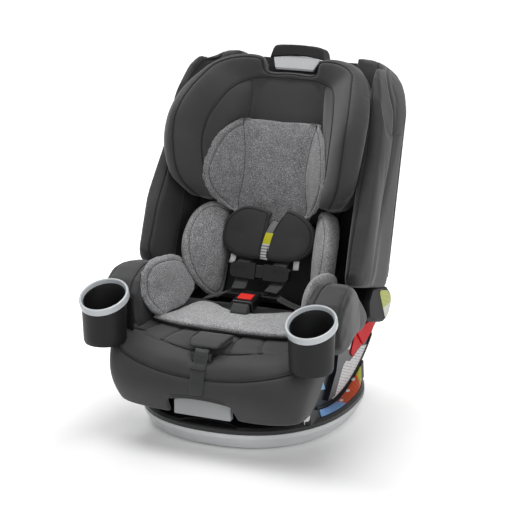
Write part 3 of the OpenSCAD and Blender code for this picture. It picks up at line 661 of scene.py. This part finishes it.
for key, bevel, nodes in [
        ("foot", 0, "base_foot"), ("rubber", 0, "rubber_pads"), ("black", 0, "base_deck"),
        ("inside", 0.6, "recline_rack"), ("olive", 0, "recline_scale_green"),
        ("orange", 0, "recline_scale_orange"), ("blue", 0, "recline_scale_blue"),
        ("inside", 1.0, "seat_pan"), ("frame", 1.0, "side_frame_left side_frame_right"),
        ("corner", 3.0, "corner_cover_left corner_cover_right"), ("yellow_label", 0, "corner_labels"),
        ("red", 0.8, "belt_path_trim_left belt_path_trim_right"), ("white_label", 0, "side_labels"),
        ("dark_steel", 0.3, "frame_screws"), ("black", 1.0, "back_shell headrest_shell"),
        ("cup", 1.0, "cup_holder_left cup_holder_right"), ("rim", 0, "cup_rim_left cup_rim_right"),
        ("inside", 0.8, "adjuster_case"), ("dark_steel", 0.8, "adjuster_lever"),
        ("light", 2.0, "recline_handle"), ("dark_steel", 0.6, "recline_lock_bar"),
        ("light", 1.2, "headrest_plate"), ("steel", 0.6, "headrest_lock_pin"),
        ("gloss", 1.6, "buckle_body"), ("button", 0.8, "buckle_button"),
        ("tongue", 0.4, "tongue_left tongue_right"), ("clip", 1.6, "chest_clip_left chest_clip_right"),
        ("clip", 1.4, "chest_clip_button")]:
    for node in nodes.split():
        carried(node, key, bevel)


# ---- soft pieces

def soft(name, node, key, body, voxel, smooth, shrink, pressure, cap, seams=(), cords=(),
         shape=None, pair=None, depth=1.6, width=3.2, start=None):
    """A stuffed piece grown from its CAD solid, or from the mesh start. seams are lines of points that
    hold it in, and cords pairs (line, radius) of piping. pair names the mirrored piece, its node and
    its body. Sizes are in millimetres: voxel, shrink, cap (of the puff), depth and width (of seams)."""
    ob = start or from_node(node, name)
    ob.name = name
    remesh(ob, voxel)
    if shape:
        set_co(ob, shape(get_co(ob)))
    relax(ob, smooth)
    swell(ob, -shrink)
    held = [even(onto(ob, path(l, 3))) for l in list(seams) + [c[0] for c in cords]]
    puff(ob, pressure, cap, held)
    relax(ob, 2)
    subdivide(ob)
    lines = [even(onto(ob, l)) for l in held]
    if lines:
        press(ob, lines, depth, width)
    trims = [(even(onto(ob, l, r * 0.35), 2), r) for l, (_, r) in zip(lines[len(seams):], cords)]
    stitch = [even(onto(ob, l, 0.15), 2) for l in lines[:len(seams)]]
    settle(ob, key, body, [node])
    extra = []
    if trims:
        for r in sorted({t[1] for t in trims}):
            t = sweep(f"{name}_piping_{str(r).replace('.', '')}", [p for p, q in trims if q == r], ring(r))
            settle(t, "piping", body)
            extra.append(t)
    if stitch:
        t = sweep(f"{name}_seams", stitch, ring(0.45, 6))
        settle(t, "thread", body)
        extra.append(t)
    if pair:
        twin_name, twin_node, twin_body = pair
        for o in [ob] + extra:
            twin = mirror_copy(o, o.name.replace(name, twin_name))
            if o is ob:
                settle(twin, key, twin_body, [twin_node] if twin_node else ())
            else:
                settle(twin, "piping" if "piping" in o.name else "thread", twin_body)
    return ob


# Back wings
def wing_shape(co):
    """Rounds off the wing's upper outer corner and fills out its foot."""
    x, y, z = from_back(co)
    top = np.interp(x, [150, 165, 182, 194, 203, 211, 215], [486, 478, 465, 450, 430, 400, 340])
    front = np.clip((30 - y) / 120, 0, 1)
    front = front * front * (3 - 2 * front)
    low = np.clip((310 - z) / 120, 0, 1) * np.clip((-60 - y) / 40, 0, 1)
    high = front * np.clip((z - 300) / 130, 0, 1)
    over = np.maximum(0, z - top + 12 * front * np.clip((x - 160) / 40, 0, 1)) * MM
    # full front corner low down, drawn in at the top; the inner end hangs a little lower
    x = x + low * 12 * np.clip((x - 188) / 16, 0, 1) - high * 8 * np.clip((x - 180) / 26, 0, 1)
    drop = (7 + 5 * np.clip((192 - x) / 12, 0, 1)) * np.clip((112 - z) / 30, 0, 1) * MM
    co[:, 0] = x * MM
    co[:, 1] -= (drop + over) * math.sin(LEAN)
    co[:, 2] -= (drop + over) * math.cos(LEAN)
    return co


front_edge = backs([
    (191, -144, 82), (191, -155, 98), (191, -153, 140), (191, -149, 180), (191, -138, 220),
    (191, -124, 250), (190, -106, 300), (188, -97, 350), (184, -94, 400), (178, -82, 430),
    (170, -58, 452), (162, -28, 468), (154, 8, 478)])
side_seam = backs([
    (213, -96, 82), (213, -92, 110), (213, -86, 150), (213, -71, 200), (213, -56, 245), (213, -43, 300),
    (213, -34, 350), (210, -32, 392), (203, -40, 424), (192, -34, 452), (180, -10, 468), (172, 16, 474)])
inner_seam = backs([
    (176, -72, 82), (176, -70, 110), (176, -66, 160), (176, -60, 240), (176, -52, 320), (174, -46, 390),
    (168, -38, 430)])
soft("back_wing_right_pad", "back_wing_right", "cloth", "seat", 4.5, 10, -1.0, 3, 3,
     seams=[side_seam, inner_seam], cords=[(front_edge, 1.6)], shape=wing_shape,
     pair=("back_wing_left_pad", "back_wing_left", "seat"))

# Back pad
soft("back_pad_cover", "back_pad", "cloth_deep", "seat", 5, 4, 0.0, 2, 2)

# Headrest: a padded rim bent in a U round the middle panel. Each row is one station of the right
# half, from the lobe's tip to the middle: inner piping, rim piping, outer side, rear.
head_rows = [
    ((100, -84, 204), (128, -99, 203), (150, -98, 203), (148, -84, 203),
     (146, -40, 203), (120, -10, 200), (108, -30, 200)),
    ((110, -99, 228), (150, -134, 227), (176, -120, 230), (166, -100, 230),
     (160, -50, 232), (156, -10, 230), (98, -31, 230)),
    ((120, -111, 259), (160, -152, 259), (187, -134, 261), (171, -112, 262),
     (163, -60, 262), (160, -10, 262), (90, -31, 262)),
    ((125, -121, 300), (165, -163, 302), (193, -139, 302), (173, -108, 300),
     (164, -60, 300), (161, -10, 300), (84, -30, 300)),
    ((124, -116, 335), (166, -163, 340), (193, -131, 342), (172, -100, 338),
     (164, -56, 338), (161, -10, 338), (80, -30, 335)),
    ((120, -106, 360), (163, -151, 371), (189, -115, 376), (170, -92, 372),
     (163, -50, 370), (160, -10, 368), (77, -30, 362)),
    ((112, -87, 387), (156, -131, 400), (180, -98, 405), (168, -76, 402),
     (162, -42, 400), (157, -10, 396), (75, -29, 390)),
    ((103, -68, 409), (147, -107, 426), (166, -74, 432), (160, -52, 430),
     (156, -30, 428), (148, -10, 424), (72, -28, 412)),
    ((88, -47, 426), (134, -77, 453), (144, -44, 458), (142, -32, 456),
     (140, -20, 454), (134, -9, 450), (66, -27, 426)),
    ((68, -38, 434), (100, -56, 470), (106, -26, 475), (105, -20, 474),
     (104, -14, 472), (100, -9, 468), (58, -27, 432)),
    ((54, -35, 437), (58, -42, 471), (61, -18, 474), (61, -15, 473),
     (60, -12, 472), (57, -9, 468), (50, -27, 435)),
    ((44, -34, 438), (50, -34, 447), (50, -20, 449), (50, -16, 449),
     (50, -12, 449), (48, -9, 448), (44, -27, 436)),
    ((0, -34, 438), (0, -34, 447), (0, -20, 449), (0, -16, 449),
     (0, -12, 449), (0, -9, 448), (0, -27, 436))]
right_half = [backs(row) for row in head_rows]
u_rim = loft("u_rim", right_half + [mirrored(row) for row in right_half[-2::-1]])
panel = loft("panel", [
    backs([(-w, -28, z), (0, -27, z), (w, -28, z), (w + 30, -9, z), (0, -7.5, z), (-w - 30, -9, z)])
    for z, w in ((172, 84), (230, 92), (300, 86), (380, 78), (436, 60))])
arch = [row[0] for row in right_half]
rim = [row[1] for row in right_half]
soft("headrest_cover_pad", "headrest_cover", "cloth", "headrest", 4.5, 5, -1.0, 3, 4,
     start=merge("headrest_raw", u_rim, panel),
     seams=[[back(s * 79, -29, z) for z in (430, 400, 360, 320)] for s in (-1, 1)],
     cords=[(arch + mirrored(arch)[-2::-1], 1.5), (rim + mirrored(rim)[-2::-1], 1.5)])

# Pull handle over the headrest: a squarer block than its core, with the core's finger hollow
def handle_shape(co):
    x, _, z = from_back(co)
    top = np.clip((z - 482) / 10, 0, 1)
    lift = (4 + 9 * np.clip(np.abs(x / 55), 0, 1) ** 3) * top
    co[:, 1] += lift * math.sin(LEAN) * MM
    co[:, 2] += lift * math.cos(LEAN) * MM
    return co


ob = from_node("headrest_handle", "headrest_handle_block")
remesh(ob, 2.0)
set_co(ob, handle_shape(get_co(ob)))
relax(ob, 5)
settle(ob, "handle", "headrest_grip", ["headrest_handle"])

# Head pillow: side wings lie on the headrest's lobes. Rows: height, outer edge, ridge seam, middle
pillow_rows = [(150, 14, -46, 8, -48, -46), (158, 22, -48, 14, -49, -46), (172, 46, -53, 34, -51, -47),
               (184, 80, -66, 62, -53, -46), (196, 101, -84, 68, -54, -47), (210, 113, -102, 67, -56, -50),
               (230, 120, -116, 63, -58, -53), (260, 122, -119, 60, -60, -55), (290, 117, -113, 62, -61, -55),
               (320, 108, -101, 66, -62, -54), (340, 95, -86, 70, -62, -52), (352, 83, -72, 73, -60, -50),
               (358, 76, -64, 72, -58, -48)]


def pillow_section(z, xo, yo, xr, yr, yc):
    right = [(0, yc), (xr * 0.55, yc - 3), (xr, yr), ((xo + xr) / 2 + 3, (yo + yr) / 2 - 6), (xo, yo),
             ((xo + 72) / 2 - 1, (yo - 34) / 2 + 1), (70, -35), (0, -31)]
    left = [(-x, y) for x, y in right[1:-1]][::-1]
    return [back(x, y, z) for x, y in right + left]


ridge = [back(r[3], r[4], r[0]) for r in pillow_rows[3:]]
lens = [back(r[1] - 15, r[2] + 8, r[0] + (5 if r[0] < 260 else -5)) for r in pillow_rows[4:-1]]
lens = [ridge[0].lerp(lens[0], 0.35)] + lens + [ridge[-1].lerp(lens[-1], 0.4)]
soft("head_pillow_pad", "head_pillow", "heather_head_painted_shade", "headrest", 3.5, 3, 0.6, 4, 4,
     start=loft("pillow_raw", [pillow_section(*r) for r in pillow_rows], 60),
     seams=[ridge, lens, mirrored(ridge), mirrored(lens)], depth=1.8, width=2.6)

# Torso bolsters: one CAD node, two pieces
torso_face = backs([
    (86, -40, 180), (107, -77, 189), (125, -104, 166), (131, -115, 121), (124, -103, 76), (107, -71, 38),
    (90, -42, 32), (84, -38, 100)])
torso_rim = backs([
    (90, -33, 190), (113, -68, 198), (136, -100, 172), (146, -116, 118), (137, -104, 66), (111, -61, 26),
    (90, -33, 23), (85, -29, 100)])
torso_rear = backs([
    (101, -23, 184), (126, -42, 190), (146, -72, 166), (152, -86, 118), (145, -74, 70), (122, -40, 30),
    (101, -23, 28), (97, -22, 100)])
soft("torso_bolster_right", "torso_bolsters", "heather_side_painted_light", "seat", 3.5, 3, 0.4, 4, 4,
     start=pad("torso_raw", torso_face, torso_rim, torso_rear, 7), seams=[torso_face + torso_face[:1]],
     pair=("torso_bolster_left", None, "seat"), width=2.6)

# Hip bolsters
hip_face = ats([
    (124, -104, 209), (145, -117, 238), (150, -116, 272), (148, -94, 290), (143, -56, 291),
    (142, -8, 280), (137, 26, 258), (120, 20, 224), (115, -34, 207), (120, -78, 207)])
hip_rim = ats([
    (131, -114, 206), (155, -130, 238), (160, -129, 278), (159, -100, 301), (155, -52, 301),
    (154, 0, 290), (148, 38, 264), (130, 28, 226), (119, -36, 205), (126, -80, 205)])
hip_rear = ats([
    (150, -108, 207), (158, -120, 240), (159, -118, 272), (159, -94, 293), (159, -48, 292),
    (158, -4, 282), (157, 32, 260), (147, 22, 222), (145, -40, 206), (148, -80, 206)])
soft("hip_bolster_right_pad", "hip_bolster_right", "heather", "seat", 3.5, 3, 0.4, 4, 5,
     start=pad("hip_raw", hip_face, hip_rim, hip_rear, 9), seams=[hip_face[:8]],
     pair=("hip_bolster_left_pad", "hip_bolster_left", "seat"), width=2.6)

# Seat insert
insert_half = [(0, -129), (38, -128), (88, -124), (126, -115), (147, -106), (138, -92), (122, -60),
               (114, -18), (104, 6), (76, 6), (42, -16)]
insert_plan = insert_half + [(0, -28)] + [(-x, y) for x, y in insert_half[:0:-1]]


def insert_ring(z, scale, lift=0):
    """The insert's outline at a height, scaled about its middle, its front edge lifted."""
    return ats([(x * scale, (y + 70) * scale - 70, z + lift * max(0, (-90 - y) / 50) ** 2)
                for x, y in insert_plan])


soft("seat_insert_pad", "seat_insert", "heather_seat_painted_light", "seat", 3.5, 3, 0.3, 3, 3,
     start=pad("insert_raw", insert_ring(204, 0.95, 3), insert_ring(199, 1.0, 3),
               insert_ring(192.5, 0.97), 1.5),
     cords=[([at(x, y - 1, 192.5) for x, y in insert_plan[-5:] + insert_plan[:6]], 2.4)])

# Arm pads
arm_in = ats([
    (172, -146, 200), (173, -144, 250), (174, -126, 272), (174, -100, 285), (174, -74, 289),
    (174, -44, 284), (174, -10, 266), (174, 22, 236), (174, 40, 208)])
arm_out = ats([
    (220, -140, 205), (220, -139, 244), (220, -121, 266), (218, -98, 279), (214, -74, 282),
    (206, -50, 276), (206, -18, 258), (206, 13, 230), (206, 34, 207)])


def arm_shape(co):
    """Fuller towards the front, where the arm meets the cup holder."""
    x, y = co[:, 0] / MM, co[:, 1] / MM
    co[:, 0] = (x + 16 * np.clip((x - 178) / 30, 0, 1) * np.clip((-10 - y) / 90, 0, 1)) * MM
    return co


soft("arm_pad_right_cover", "arm_pad_right", "cloth", "seat", 4, 5, 0.0, 3, 3,
     seams=[arm_out], cords=[(arm_in, 1.3)], shape=arm_shape,
     pair=("arm_pad_left_cover", "arm_pad_left", "seat"))


# Seat cushion with its sewn channels
def cushion_shape(co):
    """Wider and longer at the front, where the cushion rolls over the edge."""
    x, y = co[:, 0] / MM, co[:, 1] / MM
    front = np.clip((-60 - y) / 140, 0, 1)
    reach = 12 + 24 * np.abs(x / 158) ** 2
    co[:, 0] *= 1 + 0.028 * np.clip((-40 - y) / 60, 0, 1)
    co[:, 1] = (y + reach * front) * MM
    return co


channels = [mirrored(ats(line), s) for line in (
    [(78, -110, 191), (84, -140, 190), (92, -166, 187), (96, -176, 180)],
    [(34, -110, 191), (36, -150, 190), (38, -180, 185), (38, -188, 178)],
    [(126, -100, 191), (136, -126, 189), (144, -148, 184)]) for s in (-1, 1)]
soft("seat_cushion_cover", "seat_cushion", "cloth", "seat", 4, 4, 1.0, 5, 7,
     seams=channels, shape=cushion_shape, depth=2.2, width=4.0)

# Flap over the harness adjuster
flap_edge = ats([
    (-33, -150, 200), (-33, -176, 200), (-30, -196, 194), (-22, -204, 191), (0, -206, 191),
    (22, -204, 191), (30, -196, 194), (33, -176, 200), (33, -150, 200)])


def flap_shape(co):
    """Rounds the flap's front corners."""
    x, y = co[:, 0] / MM, co[:, 1] / MM
    front = np.clip((-182 - y) / 24, 0, 1)
    co[:, 0] = x * (1 - 0.16 * front ** 2) * MM
    return co


soft("adjuster_flap_pad", "adjuster_flap", "cloth", "flap", 2.5, 3, 0.3, 4, 3,
     cords=[(flap_edge, 1.8)], shape=flap_shape)


# ---- hanging front cover

COVER_LOW, COVER_TOP, COVER_HALF = 64.0, 168.0, 170.0
COVER_THICK = 5


def cover_xyz(t, z, inset=0.0):
    """Place on the cover at turn t of its plan and height z, in millimetres."""
    u = max(0.0, (z - COVER_LOW) / (COVER_TOP - COVER_LOW))
    half = COVER_HALF + 30 * min(u, 1.0) ** 0.6
    reach = 204 + 34 * math.sin(min(1.0, u * 1.5) * math.pi / 2) - 30 * u ** 4
    rear = -112 - 34 * (1 - u)
    a, b = half - inset, reach - inset + rear
    return Vector((a * spow(math.sin(t), 0.46), rear - b * spow(max(0.0, math.cos(t)), 0.40), z))


def cover_turns(count):
    """Angles that stand evenly along the cover's plan."""
    fine = np.sin(np.linspace(-1, 1, 4001) * math.pi / 2) * math.pi / 2
    fine = np.sign(fine) * np.abs(fine / (math.pi / 2)) ** 2.2 * math.pi / 2
    p = np.array([tuple(cover_xyz(t, 110)) for t in fine])
    run = np.concatenate([[0], np.cumsum(np.linalg.norm(np.diff(p, axis=0), axis=1))])
    return np.interp(np.linspace(0, run[-1], count), run, fine)


def front_cover():
    cols, rows, band = 170, 22, 10
    outer, inner = [], []
    for t in cover_turns(cols + 1):
        x_low = cover_xyz(t, COVER_LOW).x
        # arched notch over the recline handle
        edge = 1 / (1 + math.exp((abs(x_low) - 61) / 1.4))
        hem = COVER_LOW + edge * (38.5 - 6 * (x_low / 57) ** 2)
        hem += (1 - edge) * (1 + 3 * (abs(x_low) / 168) ** 3)
        lip = 142 + 34 * min(1.0, abs(x_low) / 168) ** 2
        col, col_in = [], []
        for k in range(rows + 1):
            z = hem + (lip - hem) * k / rows
            col.append(cover_xyz(t, z))
            col_in.append(cover_xyz(t, z, COVER_THICK))
        low = col[-1]
        s = low.x / 200
        dip = 1 / (1 + math.exp((abs(low.x) - 23) / 2))  # room for the adjuster's lever
        upper = Vector((low.x * 0.86, -193 + 62 * abs(s) ** 1.8 - 5 * dip,
                        177 + 13 * abs(s) ** 1.5 - 7 * dip))
        if abs(s) > 0.86:
            w = (abs(s) - 0.86) / 0.14
            rise = 178 + 17 * min(1.0, max(0.0, (-116 - low.y) / 26))
            upper = upper.lerp(Vector((low.x * 0.985, low.y + 4, rise)), min(1, w))
        for k in range(1, band + 1):
            q = k / band
            p = low.lerp(upper, q)
            out = Vector((s * 0.5, -0.75, 0.65)).normalized()
            p += out * 9 * math.sin(math.pi * q) * (1 - 0.5 * abs(s) ** 3)
            col.append(p)
            col_in.append(p - out * COVER_THICK)
        outer.append(col)
        inner.append(col_in)
    m, n = rows + band + 1, cols + 1
    off = n * m
    verts = [p * MM for c in outer + inner for p in c]
    faces = []
    for i in range(cols):
        for k in range(m - 1):
            a, b, c, d = i * m + k, (i + 1) * m + k, (i + 1) * m + k + 1, i * m + k + 1
            faces.append((a, b, c, d))
            faces.append((off + d, off + c, off + b, off + a))
        faces.append((i * m, off + i * m, off + (i + 1) * m, (i + 1) * m))
        k = m - 1
        faces.append((i * m + k, (i + 1) * m + k, off + (i + 1) * m + k, off + i * m + k))
    for i in (0, cols):
        for k in range(m - 1):
            faces.append((i * m + k, i * m + k + 1, off + i * m + k + 1, off + i * m + k))
    ob = add("front_cover_cloth", verts, faces)
    subdivide(ob)
    low_line = even([outer[i][rows] * MM for i in range(3, n - 3)], 4)
    top_line = even([outer[i][m - 1] * MM for i in range(7, n - 7)], 6)
    hem_line = even([(outer[i][0] + Vector((0, 0, 5))) * MM for i in range(2, n - 2)], 2)
    press(ob, [low_line], 2.4, 4.0)
    hem_line = onto(ob, hem_line)
    second = onto(ob, [p + Vector((0, 0, 4 * MM)) for p in hem_line])
    press(ob, [hem_line], 0.8, 2.0)
    # slow drape of the hanging cloth
    co, no = get_co(ob), get_normals(ob)
    drape = np.array([noise.noise(Vector((c[0] * 11, c[1] * 9, c[2] * 6))) for c in co])
    hang = np.clip((0.14 - co[:, 2]) / 0.07, 0, 1)
    set_co(ob, co + no * (drape * hang * 1.6 * MM)[:, None])
    settle(ob, "cloth", "seat", ["front_cover"])
    raised = [p + at(0, 0, 0.4) for p in top_line]
    t = sweep("front_cover_piping", [even(onto(ob, low_line, 0.6)), raised], ring(1.7))
    settle(t, "piping", "seat")
    t = sweep("front_cover_hem_seam", [even(onto(ob, l, 0.1)) for l in (hem_line, second)], ring(0.45, 6))
    settle(t, "thread", "seat")
    return ob


cover = front_cover()

# ---- harness

# Shoulder pads with their bound rims; the right one is cut back where the left laps over it
def shoulder_rings(top, mid, low, out):
    """Face, rim and rear outlines. top, mid and low place the edge beside the other pad; out widens
    the far side."""
    rim = [(top, -70, 190), (34 + out, -68, 197), (62 + out, -64, 188), (84 + out, -58, 168),
           (90 + out, -56, 144), (83 + out, -60, 120), (62 + out, -66, 104), (34, -70, 99),
           (low + 2, -72, 101), (low, -72, 118), (mid, -72, 148), ((mid + top) / 2, -71, 172)]
    face = [(x + (36 - x) * 0.12, y - 6, 145 + (z - 145) * 0.9) for x, y, z in rim]
    rear = [(x + (36 - x) * 0.08, y + 10, 145 + (z - 145) * 0.93) for x, y, z in rim]
    return [backs(row) for row in (face, rim, rear)]


for side, s, (top, mid, low, out) in (("right", 1, (36, 13, 6, 4)), ("left", -1, (-7, -3, 2, 1))):
    face, rim, rear = [mirrored(row, s) for row in shoulder_rings(top, mid, low, out)]
    low_rim = [face[k].lerp(rim[k], 0.9) for k in (4, 5, 6, 7, 8)]
    soft(f"shoulder_cover_{side}", "shoulder_covers", "cloth_deep", "headrest",
         2.6, 2, 0.3, 3, 2, start=pad(f"shoulder_raw_{side}", face, rim, rear, 2.5),
         cords=[(face + face[:1], 1.1), (low_rim, 1.3)], depth=1.0, width=2.2)

ACROSS = (1, 0, 0)  # side direction of webbing that runs up and down
SIDES = (("right", 1), ("left", -1))
WEB = flat(26, 2.2)
strap = backs([(36, y, z) for y, z in ((-28, 166), (-55, 160), (-61, 146), (-61, 96), (-73, 93), (-73, 60))])
strap.append(buckle(32, -2.4, 66) + at(0, 1, 3))
for side, s in SIDES:
    t = sweep(f"shoulder_webbing_{side}", [even(mirrored(path(strap, 4), s), 2)], WEB, ACROSS)
    give(t, "webbing")
    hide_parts("shoulder_straps")
    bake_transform(t)

lap_from = buckle(52, 0, 58)
for side, s in SIDES:
    pts = path([lap_from, at(72, lap_from.y / MM + 2, 216), at(98, lap_from.y / MM + 6, 207)], 4)
    t = sweep(f"lap_webbing_{side}", [mirrored(pts, s)], flat(22, 2.2), up=(0, 1, 0))
    settle(t, "webbing", "seat", ["lap_straps"])

ob = from_node("crotch_strap", "crotch_sleeve")
remesh(ob, 2.5)
relax(ob, 3)
settle(ob, "webbing", "buckle", ["crotch_strap"])

run = path(ats([(0, -215, 168), (0, -226, 158), (0, -238, 144), (0, -242, 130), (0, -240, 112)]))
run = even(ats([(0, -206, 189), (0, -214, 184), (0, -216.5, 177)]) + onto(cover, run, 1.7))
t = sweep("adjuster_webbing", [run], WEB, ACROSS)
settle(t, "webbing", "seat", ["adjuster_strap"])
grip = min(run, key=lambda p: abs(p.z - 0.157))
t = sweep("adjuster_bar", [[grip + at(x, -1.4, 0) for x in (-14, -7, 0, 7, 14)]], ring(1.6, 10))
settle(t, "inside", "seat")

run = path(backs([(3, -74, 100), (5, -77, 122), (11, -77, 150), (17, -68, 172)]), 4)
t = sweep("harness_length_strip", [run], flat(14.5, 0.8), ACROSS)
settle(t, "strip", "headrest", ["harness_label"])

tag = backs([(63, -60, 104), (63, -61, 96), (64, -63, 87)])
tags = sweep("harness_tags", [mirrored(tag, s) for s in (-1, 1)], flat(11, 0.7), ACROSS)
settle(tags, "paper", "headrest")

# Care tag, hung at the cover's side: a curled sheet of two faces with a rim
lo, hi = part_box("care_tag")
tag_rows, tag_cols = 14, 8
verts, faces = [], []
for side in (0, 1):
    for i in range(tag_rows + 1):
        q = i / tag_rows
        for j in range(tag_cols + 1):
            w = j / tag_cols
            y = -0.118 - 0.026 * q * q - 0.020 * w + 0.004 * math.sin(q * 7)
            z = 0.106 - 0.046 * q + 0.004 * w * (1 - q)
            wave = 0.0016 * math.sin(q * 9 + w * 4) + 0.0012 * math.sin(w * 7 - q * 5)
            x = (lo[0] + hi[0]) / 2 + wave - 0.0005 + side * 0.0007
            verts.append((x, y, z))
n = tag_cols + 1
off = (tag_rows + 1) * n
for i in range(tag_rows):
    for j in range(tag_cols):
        a = i * n + j
        faces.append((a, a + 1, a + n + 1, a + n))
        faces.append((off + a, off + a + n, off + a + n + 1, off + a + 1))
edge = list(range(n)) + [i * n + n - 1 for i in range(1, tag_rows + 1)]
edge += [tag_rows * n + j for j in range(n - 2, -1, -1)] + [i * n for i in range(tag_rows - 1, 0, -1)]
for a, b in zip(edge, edge[1:] + edge[:1]):
    faces.append((a, off + a, off + b, b))
ob = add("care_tag_cloth", verts, faces)
settle(ob, "paper", "seat", ["care_tag"])

# White position dots on the scales
DOT_SIDES = 17
dots = []
for x, y, z in ((168.3, 89.6, 59.3), (172.5, 50.0, 50.9), (176.4, 6.5, 47.6)):
    for s in (-1, 1):
        centre = at(s * x, y, z)
        turns = np.linspace(0, 2 * math.pi, DOT_SIDES + 1)[:-1]
        dots.append([centre + at(3.4 * math.cos(a), 5.0 * math.sin(a),
                                 -0.2 + 0.22 * 5.0 * math.sin(a) * (y / 90)) for a in turns])
verts = [p + at(0, 0, h) for r in dots for h in (0, 0.9) for p in r]
faces = []
for k in range(len(dots)):
    b = k * 2 * DOT_SIDES
    t = b + DOT_SIDES
    faces += [tuple(range(b, t))[::-1], tuple(range(t, t + DOT_SIDES))]
    faces += [(b + i, b + (i + 1) % DOT_SIDES, t + (i + 1) % DOT_SIDES, t + i) for i in range(DOT_SIDES)]
ob = add("scale_dots", verts, faces, False)
settle(ob, "dot", "base")

# ---- stage, light and camera

bpy.ops.mesh.primitive_plane_add(size=40)
floor = bpy.context.object
floor.name = "floor"
s = Shader("pale_floor")
grain = s.noise(3, 3)
s.plug(s.b.inputs["Base Color"], s.ramp(grain, (0.3, 0.80), (0.7, 0.82)))
s.b.inputs["Roughness"].default_value = 0.9
ray = s.t.nodes.new("ShaderNodeLightPath")
glow = s.t.nodes.new("ShaderNodeEmission")
reach = s.node("VectorMath", Vector=s.co)
reach.operation = "DISTANCE"
reach.inputs[1].default_value = (0.0, -0.3, 0.0)
far = s.node("MapRange", Value=reach.outputs["Value"],
             From_Min=0.25, From_Max=0.8, To_Min=0.10, To_Max=0.75)
seen = s.math("MAXIMUM", ray.outputs["Is Camera Ray"], ray.outputs["Is Glossy Ray"])
s.t.links.new(s.math("MULTIPLY", seen, far.outputs["Result"]), glow.inputs["Strength"])
both_shaders = s.t.nodes.new("ShaderNodeAddShader")
s.t.links.new(s.b.outputs[0], both_shaders.inputs[0])
s.t.links.new(glow.outputs[0], both_shaders.inputs[1])
s.t.links.new(both_shaders.outputs[0], s.t.nodes["Material Output"].inputs["Surface"])
floor.data.materials.append(s.m)

world = bpy.data.worlds.new("studio")
scene.world = world
world.use_nodes = True
# seen white by the camera, but dimmer as a light
nodes, link = world.node_tree.nodes, world.node_tree.links.new
bg = nodes["Background"]
bg.inputs["Color"].default_value = (1, 1, 1, 1)
ray = nodes.new("ShaderNodeLightPath")
seen = nodes.new("ShaderNodeMath")
seen.operation = "MAXIMUM"
level = nodes.new("ShaderNodeMix")
level.inputs[2].default_value, level.inputs[3].default_value = 0.42, 1.0
link(ray.outputs["Is Camera Ray"], seen.inputs[0])
link(ray.outputs["Is Transmission Ray"], seen.inputs[1])
link(seen.outputs[0], level.inputs[0])
link(level.outputs[0], bg.inputs["Strength"])


AIM = Vector((0, 0, 0.3))


def lamp(name, place, size, power):
    """Round soft lamp that points at the seat's middle."""
    d = bpy.data.lights.new(name, "AREA")
    d.shape = "DISK"
    d.size = size
    d.energy = power
    o = linked(name, d)
    o.location = place
    o.rotation_mode = "QUATERNION"
    o.rotation_quaternion = (AIM - Vector(place)).to_track_quat("-Z", "Y")


lamp("key", (-1.4, 0.3, 2.6), 1.4, 30)
lamp("fill", (2.3, -1.9, 1.6), 2.0, 27)
lamp("top", (0.1, -0.1, 2.7), 1.6, 31)

cam = bpy.data.cameras.new("camera")
cam_ob = linked("camera", cam)
cam.sensor_width = 36
cam.lens = 125.2
cam.clip_start, cam.clip_end = 0.05, 100
cam_ob.location = (1.242, -2.832, 1.188)
cam_ob.rotation_mode = "QUATERNION"
cam_ob.rotation_quaternion = Vector((-0.3833, 0.8815, -0.2756)).to_track_quat("-Z", "Y")
scene.camera = cam_ob
scene.view_settings.view_transform = "Standard"
